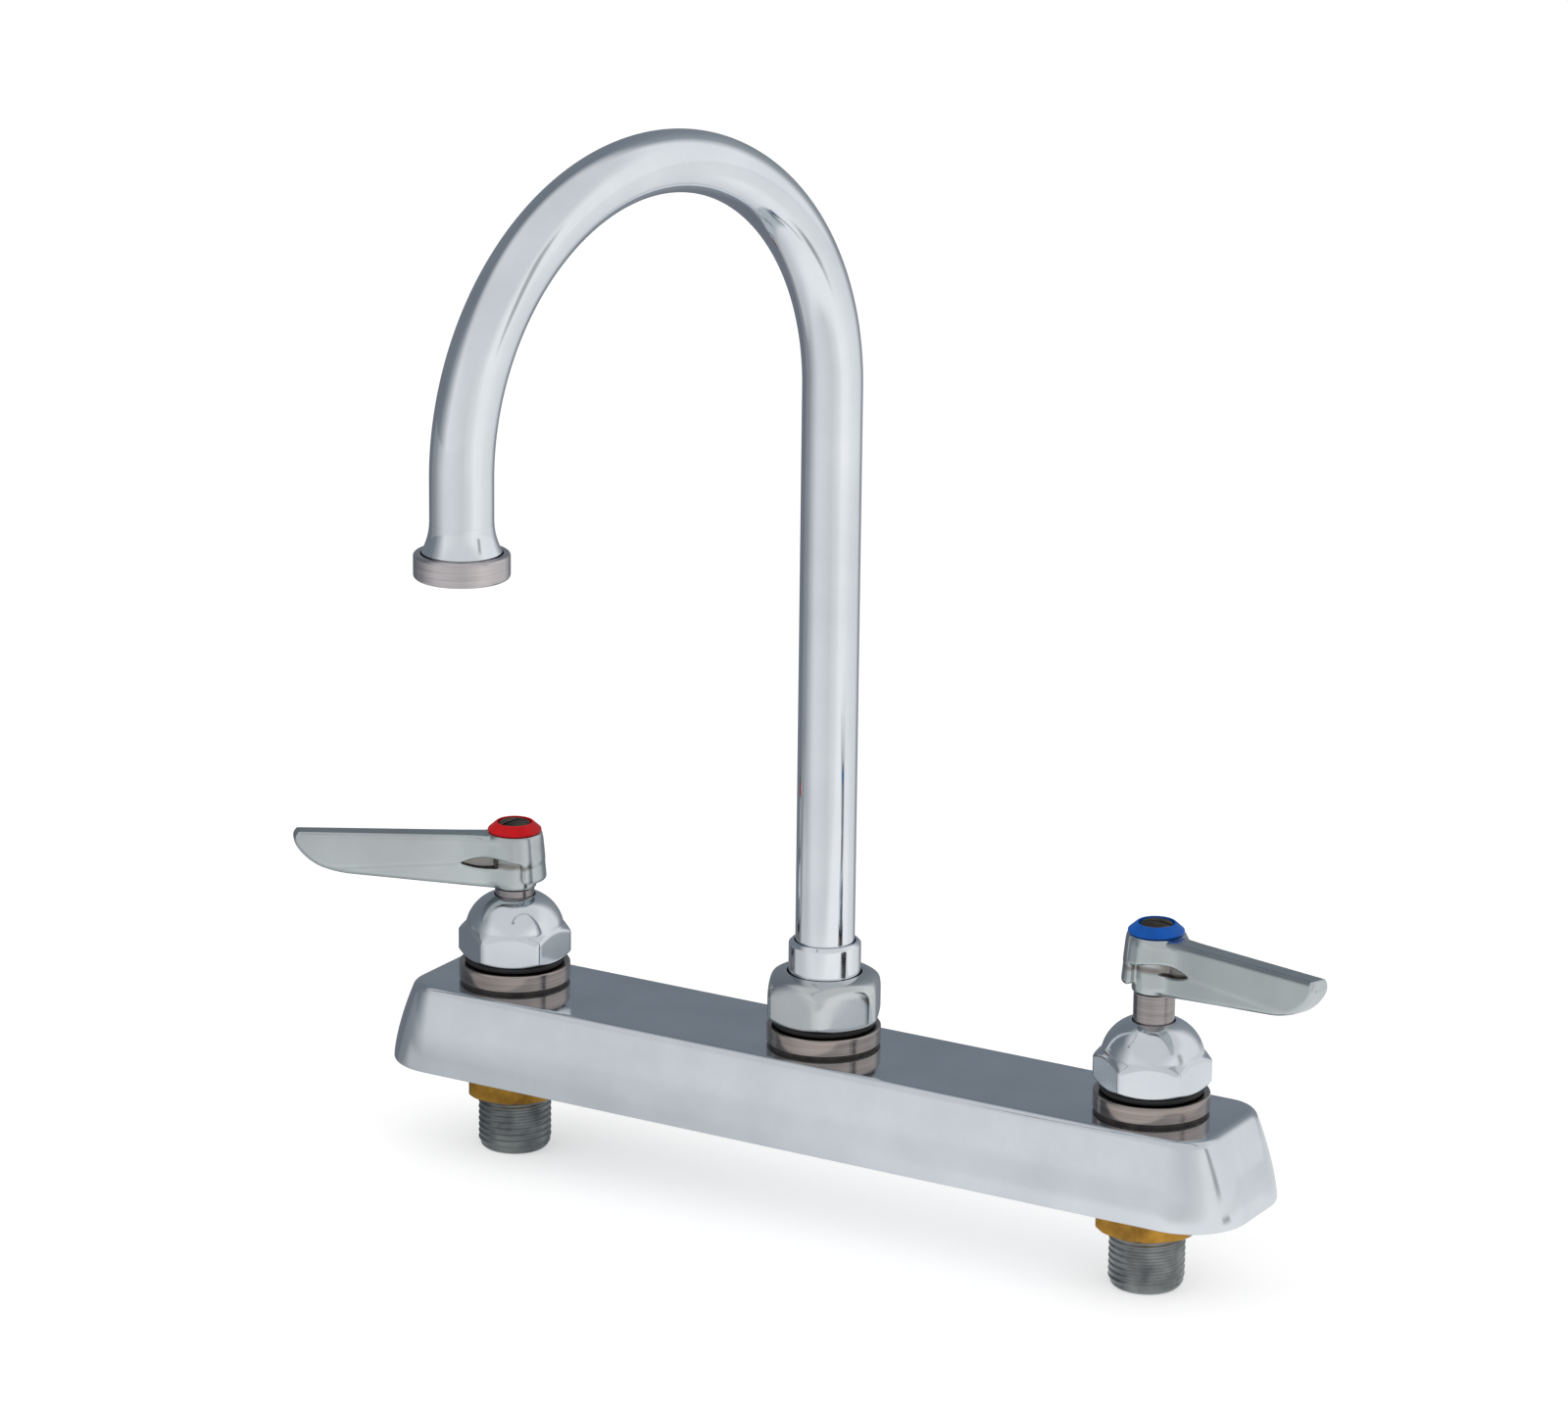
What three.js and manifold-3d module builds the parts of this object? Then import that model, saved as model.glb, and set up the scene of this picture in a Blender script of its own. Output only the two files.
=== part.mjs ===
// A deck-mounted kitchen faucet: a long cast body with a hot and a cold compression valve, two lever
// handles and a swivelling gooseneck spout. Millimetres, +Z up. The origin is the centre of the body's
// underside, which stands on the deck. +X runs from the hot valve to the cold one, and -Y faces the user.
import * as THREE from "three";
import { mergeVertices } from "three/addons/utils/BufferGeometryUtils.js";
import Module from "manifold-3d";

const wasm = await Module();
wasm.setup();

// ---------------------------------------------------------------- clearances
const GAP = 0.3; // between pieces that touch
const RUNNING_GAP = 0.4; // round pieces that turn or slide

// ---------------------------------------------------------------- body casting
const VALVE_SPACING = 203.2; // 8 in between the inlets
const BODY_HEIGHT = 24;
const TOP_OVERHANG = 24.9; // beyond the valve axes, at the top edge
const FOOT_OVERHANG = 32.9; // the same at the deck
const TOP_WIDTH = 40.4;
const FOOT_WIDTH = 49.6;
const TOP_CORNER = 9.8;
const FOOT_CORNER = 17.4;
const TOP_EDGE_ROUND = 1.8;
const FLARE_POWER = 1.5; // how late the sides turn upright
const BOSS_DIAMETER = 31.6;
const BOSS_RISE = 5.6;
const BOSS_GROOVE = 0.9; // height of the dark groove round the foot of a boss
const BOSS_GROOVE_DEPTH = 0.7;
const RIM_WALL = 4.5; // round the recess in the underside
const RECESS_DEPTH = 2.4;
const PAD_DIAMETER = 32;
const RIB_WIDTH = 7;
const CHANNEL_DIAMETER = 7.2;
const CHANNEL_RISE = 4; // from the pockets' floor to the middle of the channel

// ---------------------------------------------------------------- inlets
const SHANK_DIAMETER = 20.8; // 1/2 in pipe thread
const SHANK_BORE = 14;
const SHANK_DROP = 25.9; // below the deck face
const SHANK_CHAMFER = 1.7;
const SOCKET_DEPTH = 6.3; // how far a shank screws into the body
const NUT_ACROSS_FLATS = 26.2;
const NUT_THICKNESS = 9.1;
const NUT_CHAMFER = 1.4;

// ---------------------------------------------------------------- valve seat and washer
const POCKET_DEPTH = 19.6; // from the top of a boss down to the floor that the seat screws into
const SEAT_THREAD = 14;
const SEAT_FLANGE_DIAMETER = 18;
const SEAT_FLANGE = 1.5;
const SEAT_LIP = 0.8;
const SEAT_BORE = 9.2;
const WASHER_DIAMETER = 15.2;
const WASHER_THICKNESS = 3;
const WASHER_HOLE = 3.8;
const WASHER_SCREW_DIAMETER = 3.2;
const WASHER_SCREW_HEAD = 6.2;
const WASHER_SCREW_HEAD_HEIGHT = 1.6;
const WASHER_SCREW_LENGTH = 5;

// ---------------------------------------------------------------- spindle
const THREAD_LEAD = 6.35; // lift for one whole turn
const FULL_TURNS = 1;
const COLD_OPEN_TURN = 340 / 360; // the cold valve is shown open, the hot one shut
const CUP_DIAMETER = 17.2;
const CUP_FLOOR = 3.2;
const CUP_DEPTH = 2.6;
const SPINDLE_THREAD = 12.2;
const SPINDLE_THREAD_LENGTH = 13.6;
const STEM_DIAMETER = 11.2;
const STEM_SHOWN = 2; // between dome and handle when the valve is shut
const O_RING_SECTION = 1.2;
const GROOVE_SLACK = 0.2; // room for an O-ring in its groove
const SPLINE_DIAMETER = 9.2;
const SPLINE_TOOTH = 0.6;
const SPLINE_TEETH = 12;
const SPLINE_LENGTH = 10;

// ---------------------------------------------------------------- bonnet
const POCKET_DIAMETER = 23.2; // the hole in each boss
const GASKET_THICKNESS = 1.4;
const GASKET_DIAMETER = 28.4;
const HEX_ACROSS_FLATS = 28.2;
const HEX_HEIGHT = 6.9; // to where the corners are chamfered
const HEX_BOTTOM_CHAMFER = 1.3;
const DOME_RADIUS = 11.5;
const DOME_CHAMFER_RISE = 2.2; // from the hex corners up to the dome
const SKIRT_WALL = 2.3;
const SKIRT_LENGTH = 14;

// ---------------------------------------------------------------- lever handle
const LEVER_REACH = 62.3; // valve axis to tip
const HUB_TOP_DIAMETER = 15.6;
const HUB_FOOT_DIAMETER = 17;
const HUB_CAP_HEIGHT = 7.5;
const HUB_HEIGHT = 16.2;
const NECK_DIAMETER = 12.4;
const NECK_FILLET = 0.8; // under the cap
const HEEL_REACH = 9.1; // the cap's cone goes on down to here behind the axis
const HEEL_DEPTH = 13.8;
const HEEL_FRONT = 1; // from the axis back to the heel
const WEB_REACH = 13.2; // how far the cap runs out into the blade
const WEB_FOOT = 6.4; // where that web leaves the cap
const WEB_DROP = 0.6; // top of the web below the top of the cap
const CAP_EDGE = 0.4; // broken edges of cap and heel
const HUB_EDGE = 0.5; // broken edges of the hub's top and foot
const BLADE_THICKNESS = 6.6;
const BLADE_TIP_THICKNESS = 5.6;
const BLADE_EDGE_ROUND = 0.9;
const BLADE_DROP = 0.45; // top of the blade below the top of the hub, where they meet
const BLADE_FOOT_RISE = 0.2; // its root above the foot of the hub
const BLADE_RISE = 2.7; // tip above hub
const BLADE_MID = 45; // where the underside turns up to the tip
const BLADE_MID_DEPTH = 10.6;
const BLADE_ROOT = 13;
const BLADE_ROOT_DEPTH = 15.1;
const HOT_LEVER_AZIMUTH = -140; // degrees from +X, seen from above
const COLD_LEVER_AZIMUTH = -20;

// ---------------------------------------------------------------- index ring and handle screw
const INDEX_DIAMETER = 15.2;
const INDEX_TOP_DIAMETER = 10.6;
const INDEX_HEIGHT = 2.6;
const SCREW_HEAD_DIAMETER = 9.2;
const SCREW_HEAD_HEIGHT = 3;
const SCREW_SHANK_DIAMETER = 4;
const SCREW_LENGTH = 14;
const SCREW_SLOT = 1.2;

// ---------------------------------------------------------------- spout swivel
const POST_ENGAGEMENT = 12; // thread of the post in the middle boss
const POST_RISE = 6.6; // above the nut's underside
const POST_THREAD = 25.2;
const SLEEVE_SPIGOT = 18.8;
const SLEEVE_DIAMETER = 20;
const SLEEVE_TOP = 9; // shown above the nut
const SLEEVE_FLANGE_DIAMETER = 22.8;
const SLEEVE_FLANGE = 2;
const SWIVEL_HEX = 30.2;
const SWIVEL_NUT_HEIGHT = 13.3;
const SWIVEL_SHOULDER = 6.9; // rounded top of the nut
const SWIVEL_BOTTOM_CHAMFER = 1.5;
const POST_WATERWAY = 12;
const MIDDLE_POCKET_FLOOR = 9;

// ---------------------------------------------------------------- spout and outlet
const TUBE_DIAMETER = 16.4;
const TUBE_WALL = 1.4;
const RISER_TOP = 209.4; // where the bend starts, above the deck
const BEND_RADIUS = 70.8;
const SPOUT_AZIMUTH = -101; // the spout is shown swung a little towards the hot side
const OUTLET_DROP = 25.4; // from the end of the bend down to the outlet's rim
const HOUSING_DIAMETER = 24.7;
const HOUSING_HEIGHT = 6.5;
const HOUSING_WALL = 1.15;
const HOUSING_LIP = 1.8;
const LIP_HEIGHT = 1;
const HOUSING_EDGE = 0.8;
const FLARE_DIAMETER = 20.4;
const FLARE_HEIGHT = 7.4;
const FLARE_LIP = 0.3; // wall of the flare where it meets the tube
const ADAPTER_SPIGOT = 2;
const ADAPTER_BORE = 16.8;
const INSERT_THICKNESS = 1.9;
const AERATOR_WASHER_THICKNESS = 1;
const AERATOR_HOLE = 1.7;
const AERATOR_ROWS = 2;
const AERATOR_PITCH = 3.9;

// ---------------------------------------------------------------- how finely round things are drawn
const ROUND = 32;
const SMALL_ROUND = 16;
const SLEEVE_ROUND = 24;
const ARC_STEPS = 5;
const BEND_STEPS = 24;

// ---------------------------------------------------------------- finishes
const chrome = (color, roughness = 0.12) => ({ color, metalness: 1, roughness });
const FINISH = {
  castChrome: chrome(0xcdd2d6),
  tubeChrome: chrome(0xd6dbdf, 0.08),
  leverChrome: chrome(0xb9bebf, 0.18),
  outletChrome: chrome(0xb9b4b1, 0.2),
  brass: { color: 0xb07a22, metalness: 1, roughness: 0.32 },
  darkSteel: { color: 0x54585a, metalness: 1, roughness: 0.4 },
  screwSteel: { color: 0x4a4a42, metalness: 1, roughness: 0.35 },
  rubber: { color: 0x17181a, metalness: 0, roughness: 0.8 },
  red: { color: 0xc40012, metalness: 0, roughness: 0.35 },
  blue: { color: 0x0055b0, metalness: 0, roughness: 0.35 },
  plastic: { color: 0x8c9092, metalness: 0, roughness: 0.5 },
};

// ---------------------------------------------------------------- helpers
// A closed geometry as a solid that can be joined and cut.
function solid(geometry) {
  const bare = geometry.clone();
  bare.deleteAttribute("normal");
  bare.deleteAttribute("uv");
  const merged = mergeVertices(bare, 1e-4);
  const corners = Array.from(merged.index.array);
  const kept = [];
  for (let i = 0; i < corners.length; i += 3) {
    const [a, b, c] = corners.slice(i, i + 3);
    if (a !== b && b !== c && c !== a) kept.push(a, b, c);
  }
  const mesh = new wasm.Mesh({
    numProp: 3,
    vertProperties: merged.attributes.position.array,
    triVerts: new Uint32Array(kept),
  });
  return new wasm.Manifold(mesh);
}

// Adds a solid to a group as a named mesh.
function place(group, name, shape, finish) {
  const made = shape.getMesh();
  const geometry = new THREE.BufferGeometry();
  geometry.setAttribute("position", new THREE.BufferAttribute(made.vertProperties, 3));
  geometry.setIndex(new THREE.BufferAttribute(made.triVerts, 1));
  geometry.computeVertexNormals();
  const mesh = new THREE.Mesh(geometry, new THREE.MeshStandardMaterial(FINISH[finish]));
  mesh.name = name;
  group.add(mesh);
}

// A solid turned about the Z axis. The profile's points are [radius, height], and they run round the
// section with the solid on their left.
function turned(profile, segments = ROUND) {
  const points = profile.map(([r, z]) => new THREE.Vector2(r, z));
  const onAxis = profile[0][0] === 0 && profile[profile.length - 1][0] === 0;
  if (!onAxis) points.push(points[0].clone());
  return solid(new THREE.LatheGeometry(points, segments).rotateX(Math.PI / 2));
}

// A ring of rectangular section.
function ring(inner, outer, bottom, top, segments = SMALL_ROUND) {
  return turned([[inner, bottom], [outer, bottom], [outer, top], [inner, top]], segments);
}

// A plain round bar along Z, used for pads and for cutting holes.
function bar(radius, bottom, top, segments = SMALL_ROUND) {
  return turned([[0, bottom], [radius, bottom], [radius, top], [0, top]], segments);
}

// Points on an arc of a circle or an ellipse, from one angle to another, in degrees.
function arc(centreR, centreZ, radiusR, radiusZ, from, to, steps = ARC_STEPS) {
  return Array.from({ length: steps + 1 }, (_, i) => {
    const angle = THREE.MathUtils.degToRad(from + ((to - from) * i) / steps);
    return [centreR + radiusR * Math.cos(angle), centreZ + radiusZ * Math.sin(angle)];
  });
}

// An upright hexagonal bar with a flat that faces the given azimuth.
function hexBar(acrossFlats, bottom, top, flatAzimuth) {
  const radius = acrossFlats / Math.sqrt(3);
  const geometry = new THREE.CylinderGeometry(radius, radius, top - bottom, 6);
  geometry.rotateX(Math.PI / 2);
  geometry.rotateZ(THREE.MathUtils.degToRad(flatAzimuth));
  geometry.translate(0, 0, (bottom + top) / 2);
  return solid(geometry);
}

// A shape in plan, raised from one height to another.
function raised(shape, bottom, top) {
  const geometry = new THREE.ExtrudeGeometry(shape, { depth: top - bottom, bevelEnabled: false });
  return solid(geometry.translate(0, 0, bottom));
}

// A plan outline with teeth, for the splines of spindle and handle.
function splineShape(rootRadius, tooth) {
  const shape = new THREE.Shape();
  const points = [];
  for (let i = 0; i < SPLINE_TEETH; i++) {
    [0, 0.25, 0.5, 0.75].forEach((share, k) => {
      const angle = ((i + share) / SPLINE_TEETH) * 2 * Math.PI;
      const radius = rootRadius + (k < 2 ? tooth : 0);
      points.push(new THREE.Vector2(radius * Math.cos(angle), radius * Math.sin(angle)));
    });
  }
  return shape.setFromPoints(points);
}

// ---------------------------------------------------------------- heights that the pieces share
const valveX = VALVE_SPACING / 2;
const fullLift = THREAD_LEAD * FULL_TURNS;
const bossTop = BODY_HEIGHT + BOSS_RISE;
const floorTop = bossTop - POCKET_DEPTH;
const seatFlangeTop = floorTop + GAP + SEAT_FLANGE;
const seatLipTop = seatFlangeTop + SEAT_LIP;
const washerBottom = seatLipTop + GAP;
const cupFloor = washerBottom + WASHER_THICKNESS + GAP;
const cupTop = cupFloor + CUP_FLOOR;
const spindleThreadTop = cupTop + SPINDLE_THREAD_LENGTH;
const hexBase = bossTop + GASKET_THICKNESS + 2 * GAP;
const hexCorner = hexBase + HEX_HEIGHT;
const stemBore = STEM_DIAMETER / 2 + GAP;
const domeCentre = HEX_ACROSS_FLATS / 2 - DOME_RADIUS;
const domeTop = hexCorner + Math.sqrt(DOME_RADIUS ** 2 - (stemBore - domeCentre) ** 2);
const bonnetShoulder = cupTop + fullLift + 2 * GAP;
const bonnetNeck = spindleThreadTop + fullLift + 2 * GAP;
const stemRingHeight = bonnetNeck + O_RING_SECTION;
const stemShoulder = domeTop + STEM_SHOWN;
const hubFoot = stemShoulder + GAP;
const hubTop = hubFoot + HUB_HEIGHT;
const splineTop = stemShoulder + SPLINE_LENGTH;

// ---------------------------------------------------------------- body casting
// Half of the body's plan at a height: the ends and sides flare out towards the deck.
function bodySection(height) {
  const flare = 1 - (height / BODY_HEIGHT) ** FLARE_POWER;
  const mix = (top, foot) => top + (foot - top) * flare;
  return {
    halfLength: valveX + mix(TOP_OVERHANG, FOOT_OVERHANG),
    halfWidth: mix(TOP_WIDTH, FOOT_WIDTH) / 2,
    corner: mix(TOP_CORNER, FOOT_CORNER),
  };
}

// A rounded rectangle as a ring of points, drawn in by an inset.
function planRing({ halfLength, halfWidth, corner }, inset, height) {
  const radius = corner - inset;
  const centres = [[1, 1], [-1, 1], [-1, -1], [1, -1]];
  return centres.flatMap(([sideX, sideY], quarter) =>
    arc(sideX * (halfLength - corner), sideY * (halfWidth - corner), radius, radius, 90 * quarter, 90 * (quarter + 1))
      .map(([x, y]) => [x, y, height]),
  );
}

// A skin over rings that have the same number of points, closed at both ends.
function loft(rings) {
  const count = rings[0].length;
  const points = rings.flat();
  const faces = [];
  for (let level = 0; level < rings.length - 1; level++) {
    for (let i = 0; i < count; i++) {
      const a = level * count + i;
      const b = level * count + ((i + 1) % count);
      faces.push(a, b, b + count, a, b + count, a + count);
    }
  }
  const ends = [[0, false], [(rings.length - 1) * count, true]];
  ends.forEach(([start, upwards]) => {
    for (let i = 1; i < count - 1; i++) {
      faces.push(start, start + (upwards ? i : i + 1), start + (upwards ? i + 1 : i));
    }
  });
  const geometry = new THREE.BufferGeometry();
  geometry.setAttribute("position", new THREE.Float32BufferAttribute(points.flat(), 3));
  geometry.setIndex(faces);
  return solid(geometry);
}

function bodyShell() {
  const wallSteps = 6;
  const edgeSteps = 3;
  const wallTop = BODY_HEIGHT - TOP_EDGE_ROUND;
  const rings = [];
  for (let i = 0; i < wallSteps; i++) {
    const height = (wallTop * i) / wallSteps;
    rings.push(planRing(bodySection(height), 0, height));
  }
  for (let i = 0; i <= edgeSteps; i++) {
    const angle = (Math.PI / 2) * (i / edgeSteps);
    const inset = TOP_EDGE_ROUND * (1 - Math.cos(angle));
    const height = wallTop + TOP_EDGE_ROUND * Math.sin(angle);
    rings.push(planRing(bodySection(height), inset, height));
  }
  return loft(rings);
}

// The shallow recess in the underside, which leaves a rim, three round pads and a rib along the middle.
function undersideRecess() {
  const foot = bodySection(0);
  const below = -1;
  const cut = loft([planRing(foot, RIM_WALL, below), planRing(foot, RIM_WALL, RECESS_DEPTH)]);
  const pad = bar(PAD_DIAMETER / 2, below - 1, RECESS_DEPTH + 1);
  const length = 2 * foot.halfLength;
  const ribHeight = RECESS_DEPTH + 4;
  const rib = solid(new THREE.BoxGeometry(length, RIB_WIDTH, ribHeight));
  return [-valveX, 0, valveX].reduce((shape, x) => shape.subtract(pad.translate([x, 0, 0])), cut.subtract(rib));
}

// One round boss, undercut by a small groove where it rises from the top face.
function boss() {
  const radius = BOSS_DIAMETER / 2;
  const root = radius - BOSS_GROOVE_DEPTH;
  const edge = 0.5;
  return turned([
    [0, BODY_HEIGHT - 1],
    [root, BODY_HEIGHT - 1],
    [root, BODY_HEIGHT + BOSS_GROOVE],
    [radius, BODY_HEIGHT + BOSS_GROOVE],
    [radius, bossTop - edge],
    [radius - edge, bossTop],
    [0, bossTop],
  ]);
}

// The hole through a valve position: pocket, seat thread and shank socket, one above the other.
function valveHole() {
  const pocket = POCKET_DIAMETER / 2;
  const seat = SEAT_THREAD / 2 + GAP;
  const socket = SHANK_DIAMETER / 2 + GAP;
  return turned([
    [0, -1],
    [socket, -1],
    [socket, SOCKET_DEPTH],
    [seat, SOCKET_DEPTH],
    [seat, floorTop],
    [pocket, floorTop],
    [pocket, bossTop + 1],
    [0, bossTop + 1],
  ]);
}

function deckBody() {
  const channel = solid(new THREE.CylinderGeometry(CHANNEL_DIAMETER / 2, CHANNEL_DIAMETER / 2, VALVE_SPACING, 16)
    .rotateZ(Math.PI / 2)
    .translate(0, 0, floorTop + CHANNEL_RISE));
  let body = bodyShell().subtract(undersideRecess());
  [-valveX, 0, valveX].forEach((x) => {
    body = body.add(boss().translate([x, 0, 0]));
  });
  [-valveX, valveX].forEach((x) => {
    body = body.subtract(valveHole().translate([x, 0, 0]));
  });
  const middle = bar(POCKET_DIAMETER / 2, MIDDLE_POCKET_FLOOR, bossTop + 1, ROUND);
  return body.subtract(middle).subtract(channel);
}

// ---------------------------------------------------------------- inlets
function inletShank() {
  const outer = SHANK_DIAMETER / 2;
  const bore = SHANK_BORE / 2;
  const top = SOCKET_DEPTH - GAP;
  return turned([
    [bore, -SHANK_DROP],
    [outer - SHANK_CHAMFER, -SHANK_DROP],
    [outer, SHANK_CHAMFER - SHANK_DROP],
    [outer, top],
    [bore, top],
  ], 32);
}

function mountingNut(flatAzimuth) {
  const corner = NUT_ACROSS_FLATS / Math.sqrt(3);
  const bottom = -GAP - NUT_THICKNESS;
  const bore = SHANK_DIAMETER / 2 + GAP;
  const blank = turned([
    [bore, bottom],
    [corner - NUT_CHAMFER, bottom],
    [corner + 0.1, bottom + NUT_CHAMFER],
    [corner + 0.1, -GAP - NUT_CHAMFER / 2],
    [corner - NUT_CHAMFER, -GAP],
    [bore, -GAP],
  ], 32);
  return blank.intersect(hexBar(NUT_ACROSS_FLATS, bottom - 1, 0, flatAzimuth));
}

// ---------------------------------------------------------------- seals
// The profile of a groove for an O-ring, cut into a round surface.
function ringGroove(surface, height) {
  const floor = surface - O_RING_SECTION - GROOVE_SLACK;
  const half = O_RING_SECTION / 2 + GROOVE_SLACK;
  return [
    [surface, height - half],
    [floor, height - half],
    [floor, height + half],
    [surface, height + half],
  ];
}

// An O-ring that lies flush in such a groove.
function oRing(surface, height, segments) {
  const section = O_RING_SECTION / 2;
  const geometry = new THREE.TorusGeometry(surface - section, section, 6, segments);
  return solid(geometry.translate(0, 0, height));
}

// ---------------------------------------------------------------- valve insides
function valveSeat() {
  const bore = SEAT_BORE / 2;
  const thread = SEAT_THREAD / 2;
  const flange = SEAT_FLANGE_DIAMETER / 2;
  const lip = bore + SEAT_LIP * 2;
  return turned([
    [bore, SOCKET_DEPTH + GAP],
    [thread, SOCKET_DEPTH + GAP],
    [thread, floorTop + GAP],
    [flange, floorTop + GAP],
    [flange, seatFlangeTop],
    [lip, seatFlangeTop],
    [bore + SEAT_LIP, seatLipTop],
    [bore, seatLipTop],
  ], SMALL_ROUND);
}

function seatWasher() {
  return ring(WASHER_HOLE / 2, WASHER_DIAMETER / 2, washerBottom, washerBottom + WASHER_THICKNESS);
}

function washerScrew() {
  const head = WASHER_SCREW_HEAD / 2;
  const shank = WASHER_SCREW_DIAMETER / 2;
  const headTop = washerBottom - GAP / 2;
  const headBottom = headTop - WASHER_SCREW_HEAD_HEIGHT;
  return turned([
    [0, headBottom],
    [head - 0.5, headBottom],
    [head, headBottom + 0.5],
    [head, headTop],
    [shank, headTop],
    [shank, cupFloor + WASHER_SCREW_LENGTH],
    [0, cupFloor + WASHER_SCREW_LENGTH],
  ], 16);
}

// The rising stem, from the cup that holds the washer up to the splines that carry the handle.
function spindle() {
  const cup = CUP_DIAMETER / 2;
  const recess = WASHER_DIAMETER / 2 + GAP;
  const thread = SPINDLE_THREAD / 2;
  const stem = STEM_DIAMETER / 2;
  const hole = WASHER_SCREW_DIAMETER / 2 + GAP;
  const screwHole = SCREW_SHANK_DIAMETER / 2 + GAP;
  const screwEnd = hubTop - SCREW_LENGTH - GAP;
  const core = SPLINE_DIAMETER / 2;
  const shaft = turned([
    [0, cupFloor + WASHER_SCREW_LENGTH + GAP],
    [hole, cupFloor + WASHER_SCREW_LENGTH + GAP],
    [hole, cupFloor],
    [recess, cupFloor],
    [recess, cupFloor - CUP_DEPTH],
    [cup, cupFloor - CUP_DEPTH],
    [cup, cupTop - 0.8],
    [cup - 0.8, cupTop],
    [thread, cupTop],
    [thread, spindleThreadTop - 0.5],
    [stem, spindleThreadTop],
    ...ringGroove(stem, stemRingHeight),
    [stem, stemShoulder],
    [core, stemShoulder],
    [core, splineTop],
    [screwHole, splineTop],
    [screwHole, screwEnd],
    [0, screwEnd],
  ], SMALL_ROUND);
  const splines = raised(splineShape(core - 0.2, SPLINE_TOOTH), stemShoulder - 0.5, splineTop - 0.6);
  const hollow = bar(screwHole, stemShoulder - 1, splineTop, 12);
  return shaft.add(splines.subtract(hollow));
}

// ---------------------------------------------------------------- bonnet
// A hex with chamfered corners and a dome above, on a threaded skirt that goes down into the boss.
function bonnet(flatAzimuth) {
  const corner = HEX_ACROSS_FLATS / Math.sqrt(3) + 0.1;
  const skirt = POCKET_DIAMETER / 2 - GAP;
  const skirtFoot = hexBase - SKIRT_LENGTH;
  const startAngle = THREE.MathUtils.radToDeg(Math.asin(DOME_CHAMFER_RISE / DOME_RADIUS));
  const endAngle = THREE.MathUtils.radToDeg(Math.acos((stemBore - domeCentre) / DOME_RADIUS));
  const dome = arc(domeCentre, hexCorner, DOME_RADIUS, DOME_RADIUS, startAngle, endAngle, 6);
  const outside = turned([
    [0, hexBase],
    [corner - HEX_BOTTOM_CHAMFER * 1.5, hexBase],
    [corner, hexBase + HEX_BOTTOM_CHAMFER],
    [corner, hexCorner],
    ...dome,
    [0, domeTop],
  ]);
  const head = outside.intersect(hexBar(HEX_ACROSS_FLATS, hexBase - 1, domeTop + 1, flatAzimuth));
  const thread = SPINDLE_THREAD / 2 + GAP;
  const inside = turned([
    [0, skirtFoot - 1],
    [skirt - SKIRT_WALL, skirtFoot - 1],
    [skirt - SKIRT_WALL, bonnetShoulder],
    [thread, bonnetShoulder],
    [thread, bonnetNeck],
    [stemBore, bonnetNeck],
    [stemBore, domeTop + 1],
    [0, domeTop + 1],
  ], SMALL_ROUND);
  return head.add(bar(skirt, skirtFoot, hexBase + 1, ROUND)).subtract(inside);
}

function bonnetGasket() {
  return ring(POCKET_DIAMETER / 2 + GAP, GASKET_DIAMETER / 2, bossTop + GAP, hexBase - GAP);
}

// ---------------------------------------------------------------- lever handle
// The blade's outline from the side, with the hub's top at height 0 and the valve axis at 0.
function bladeOutline() {
  const tip = LEVER_REACH;
  const shape = new THREE.Shape();
  shape.moveTo(0, -BLADE_DROP);
  shape.lineTo(0, BLADE_FOOT_RISE - HUB_HEIGHT);
  shape.lineTo(NECK_DIAMETER / 2, BLADE_FOOT_RISE - HUB_HEIGHT);
  shape.lineTo(BLADE_ROOT, -BLADE_ROOT_DEPTH);
  shape.lineTo(BLADE_MID, -BLADE_MID_DEPTH);
  shape.quadraticCurveTo(tip - 5.8, 1.6 - BLADE_MID_DEPTH, tip - 1.1, -2.2);
  shape.quadraticCurveTo(tip + 0.8, 0.8, tip - 0.9, BLADE_RISE);
  shape.lineTo(HUB_TOP_DIAMETER / 2 - 1, -BLADE_DROP);
  shape.closePath();
  return shape;
}

// The blade thins towards its tip, and the tip is round from above.
function bladeHalfShare(x) {
  const taper = 1 - (1 - BLADE_TIP_THICKNESS / BLADE_THICKNESS) * Math.max(0, x / LEVER_REACH);
  const nose = BLADE_TIP_THICKNESS / 2;
  const past = Math.min(1, Math.max(0, (x - (LEVER_REACH - nose)) / nose));
  return taper * Math.sqrt(1 - 0.8 * past ** 2);
}

function blade() {
  const geometry = new THREE.ExtrudeGeometry(bladeOutline(), {
    depth: BLADE_THICKNESS - 2 * BLADE_EDGE_ROUND,
    curveSegments: 6,
    bevelThickness: BLADE_EDGE_ROUND,
    bevelSize: BLADE_EDGE_ROUND,
    bevelOffset: -BLADE_EDGE_ROUND,
    bevelSegments: 2,
  });
  geometry.translate(0, 0, BLADE_EDGE_ROUND - BLADE_THICKNESS / 2);
  const points = geometry.attributes.position;
  for (let i = 0; i < points.count; i++) {
    points.setZ(i, points.getZ(i) * bladeHalfShare(points.getX(i)));
  }
  return solid(geometry.rotateX(Math.PI / 2));
}

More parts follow.
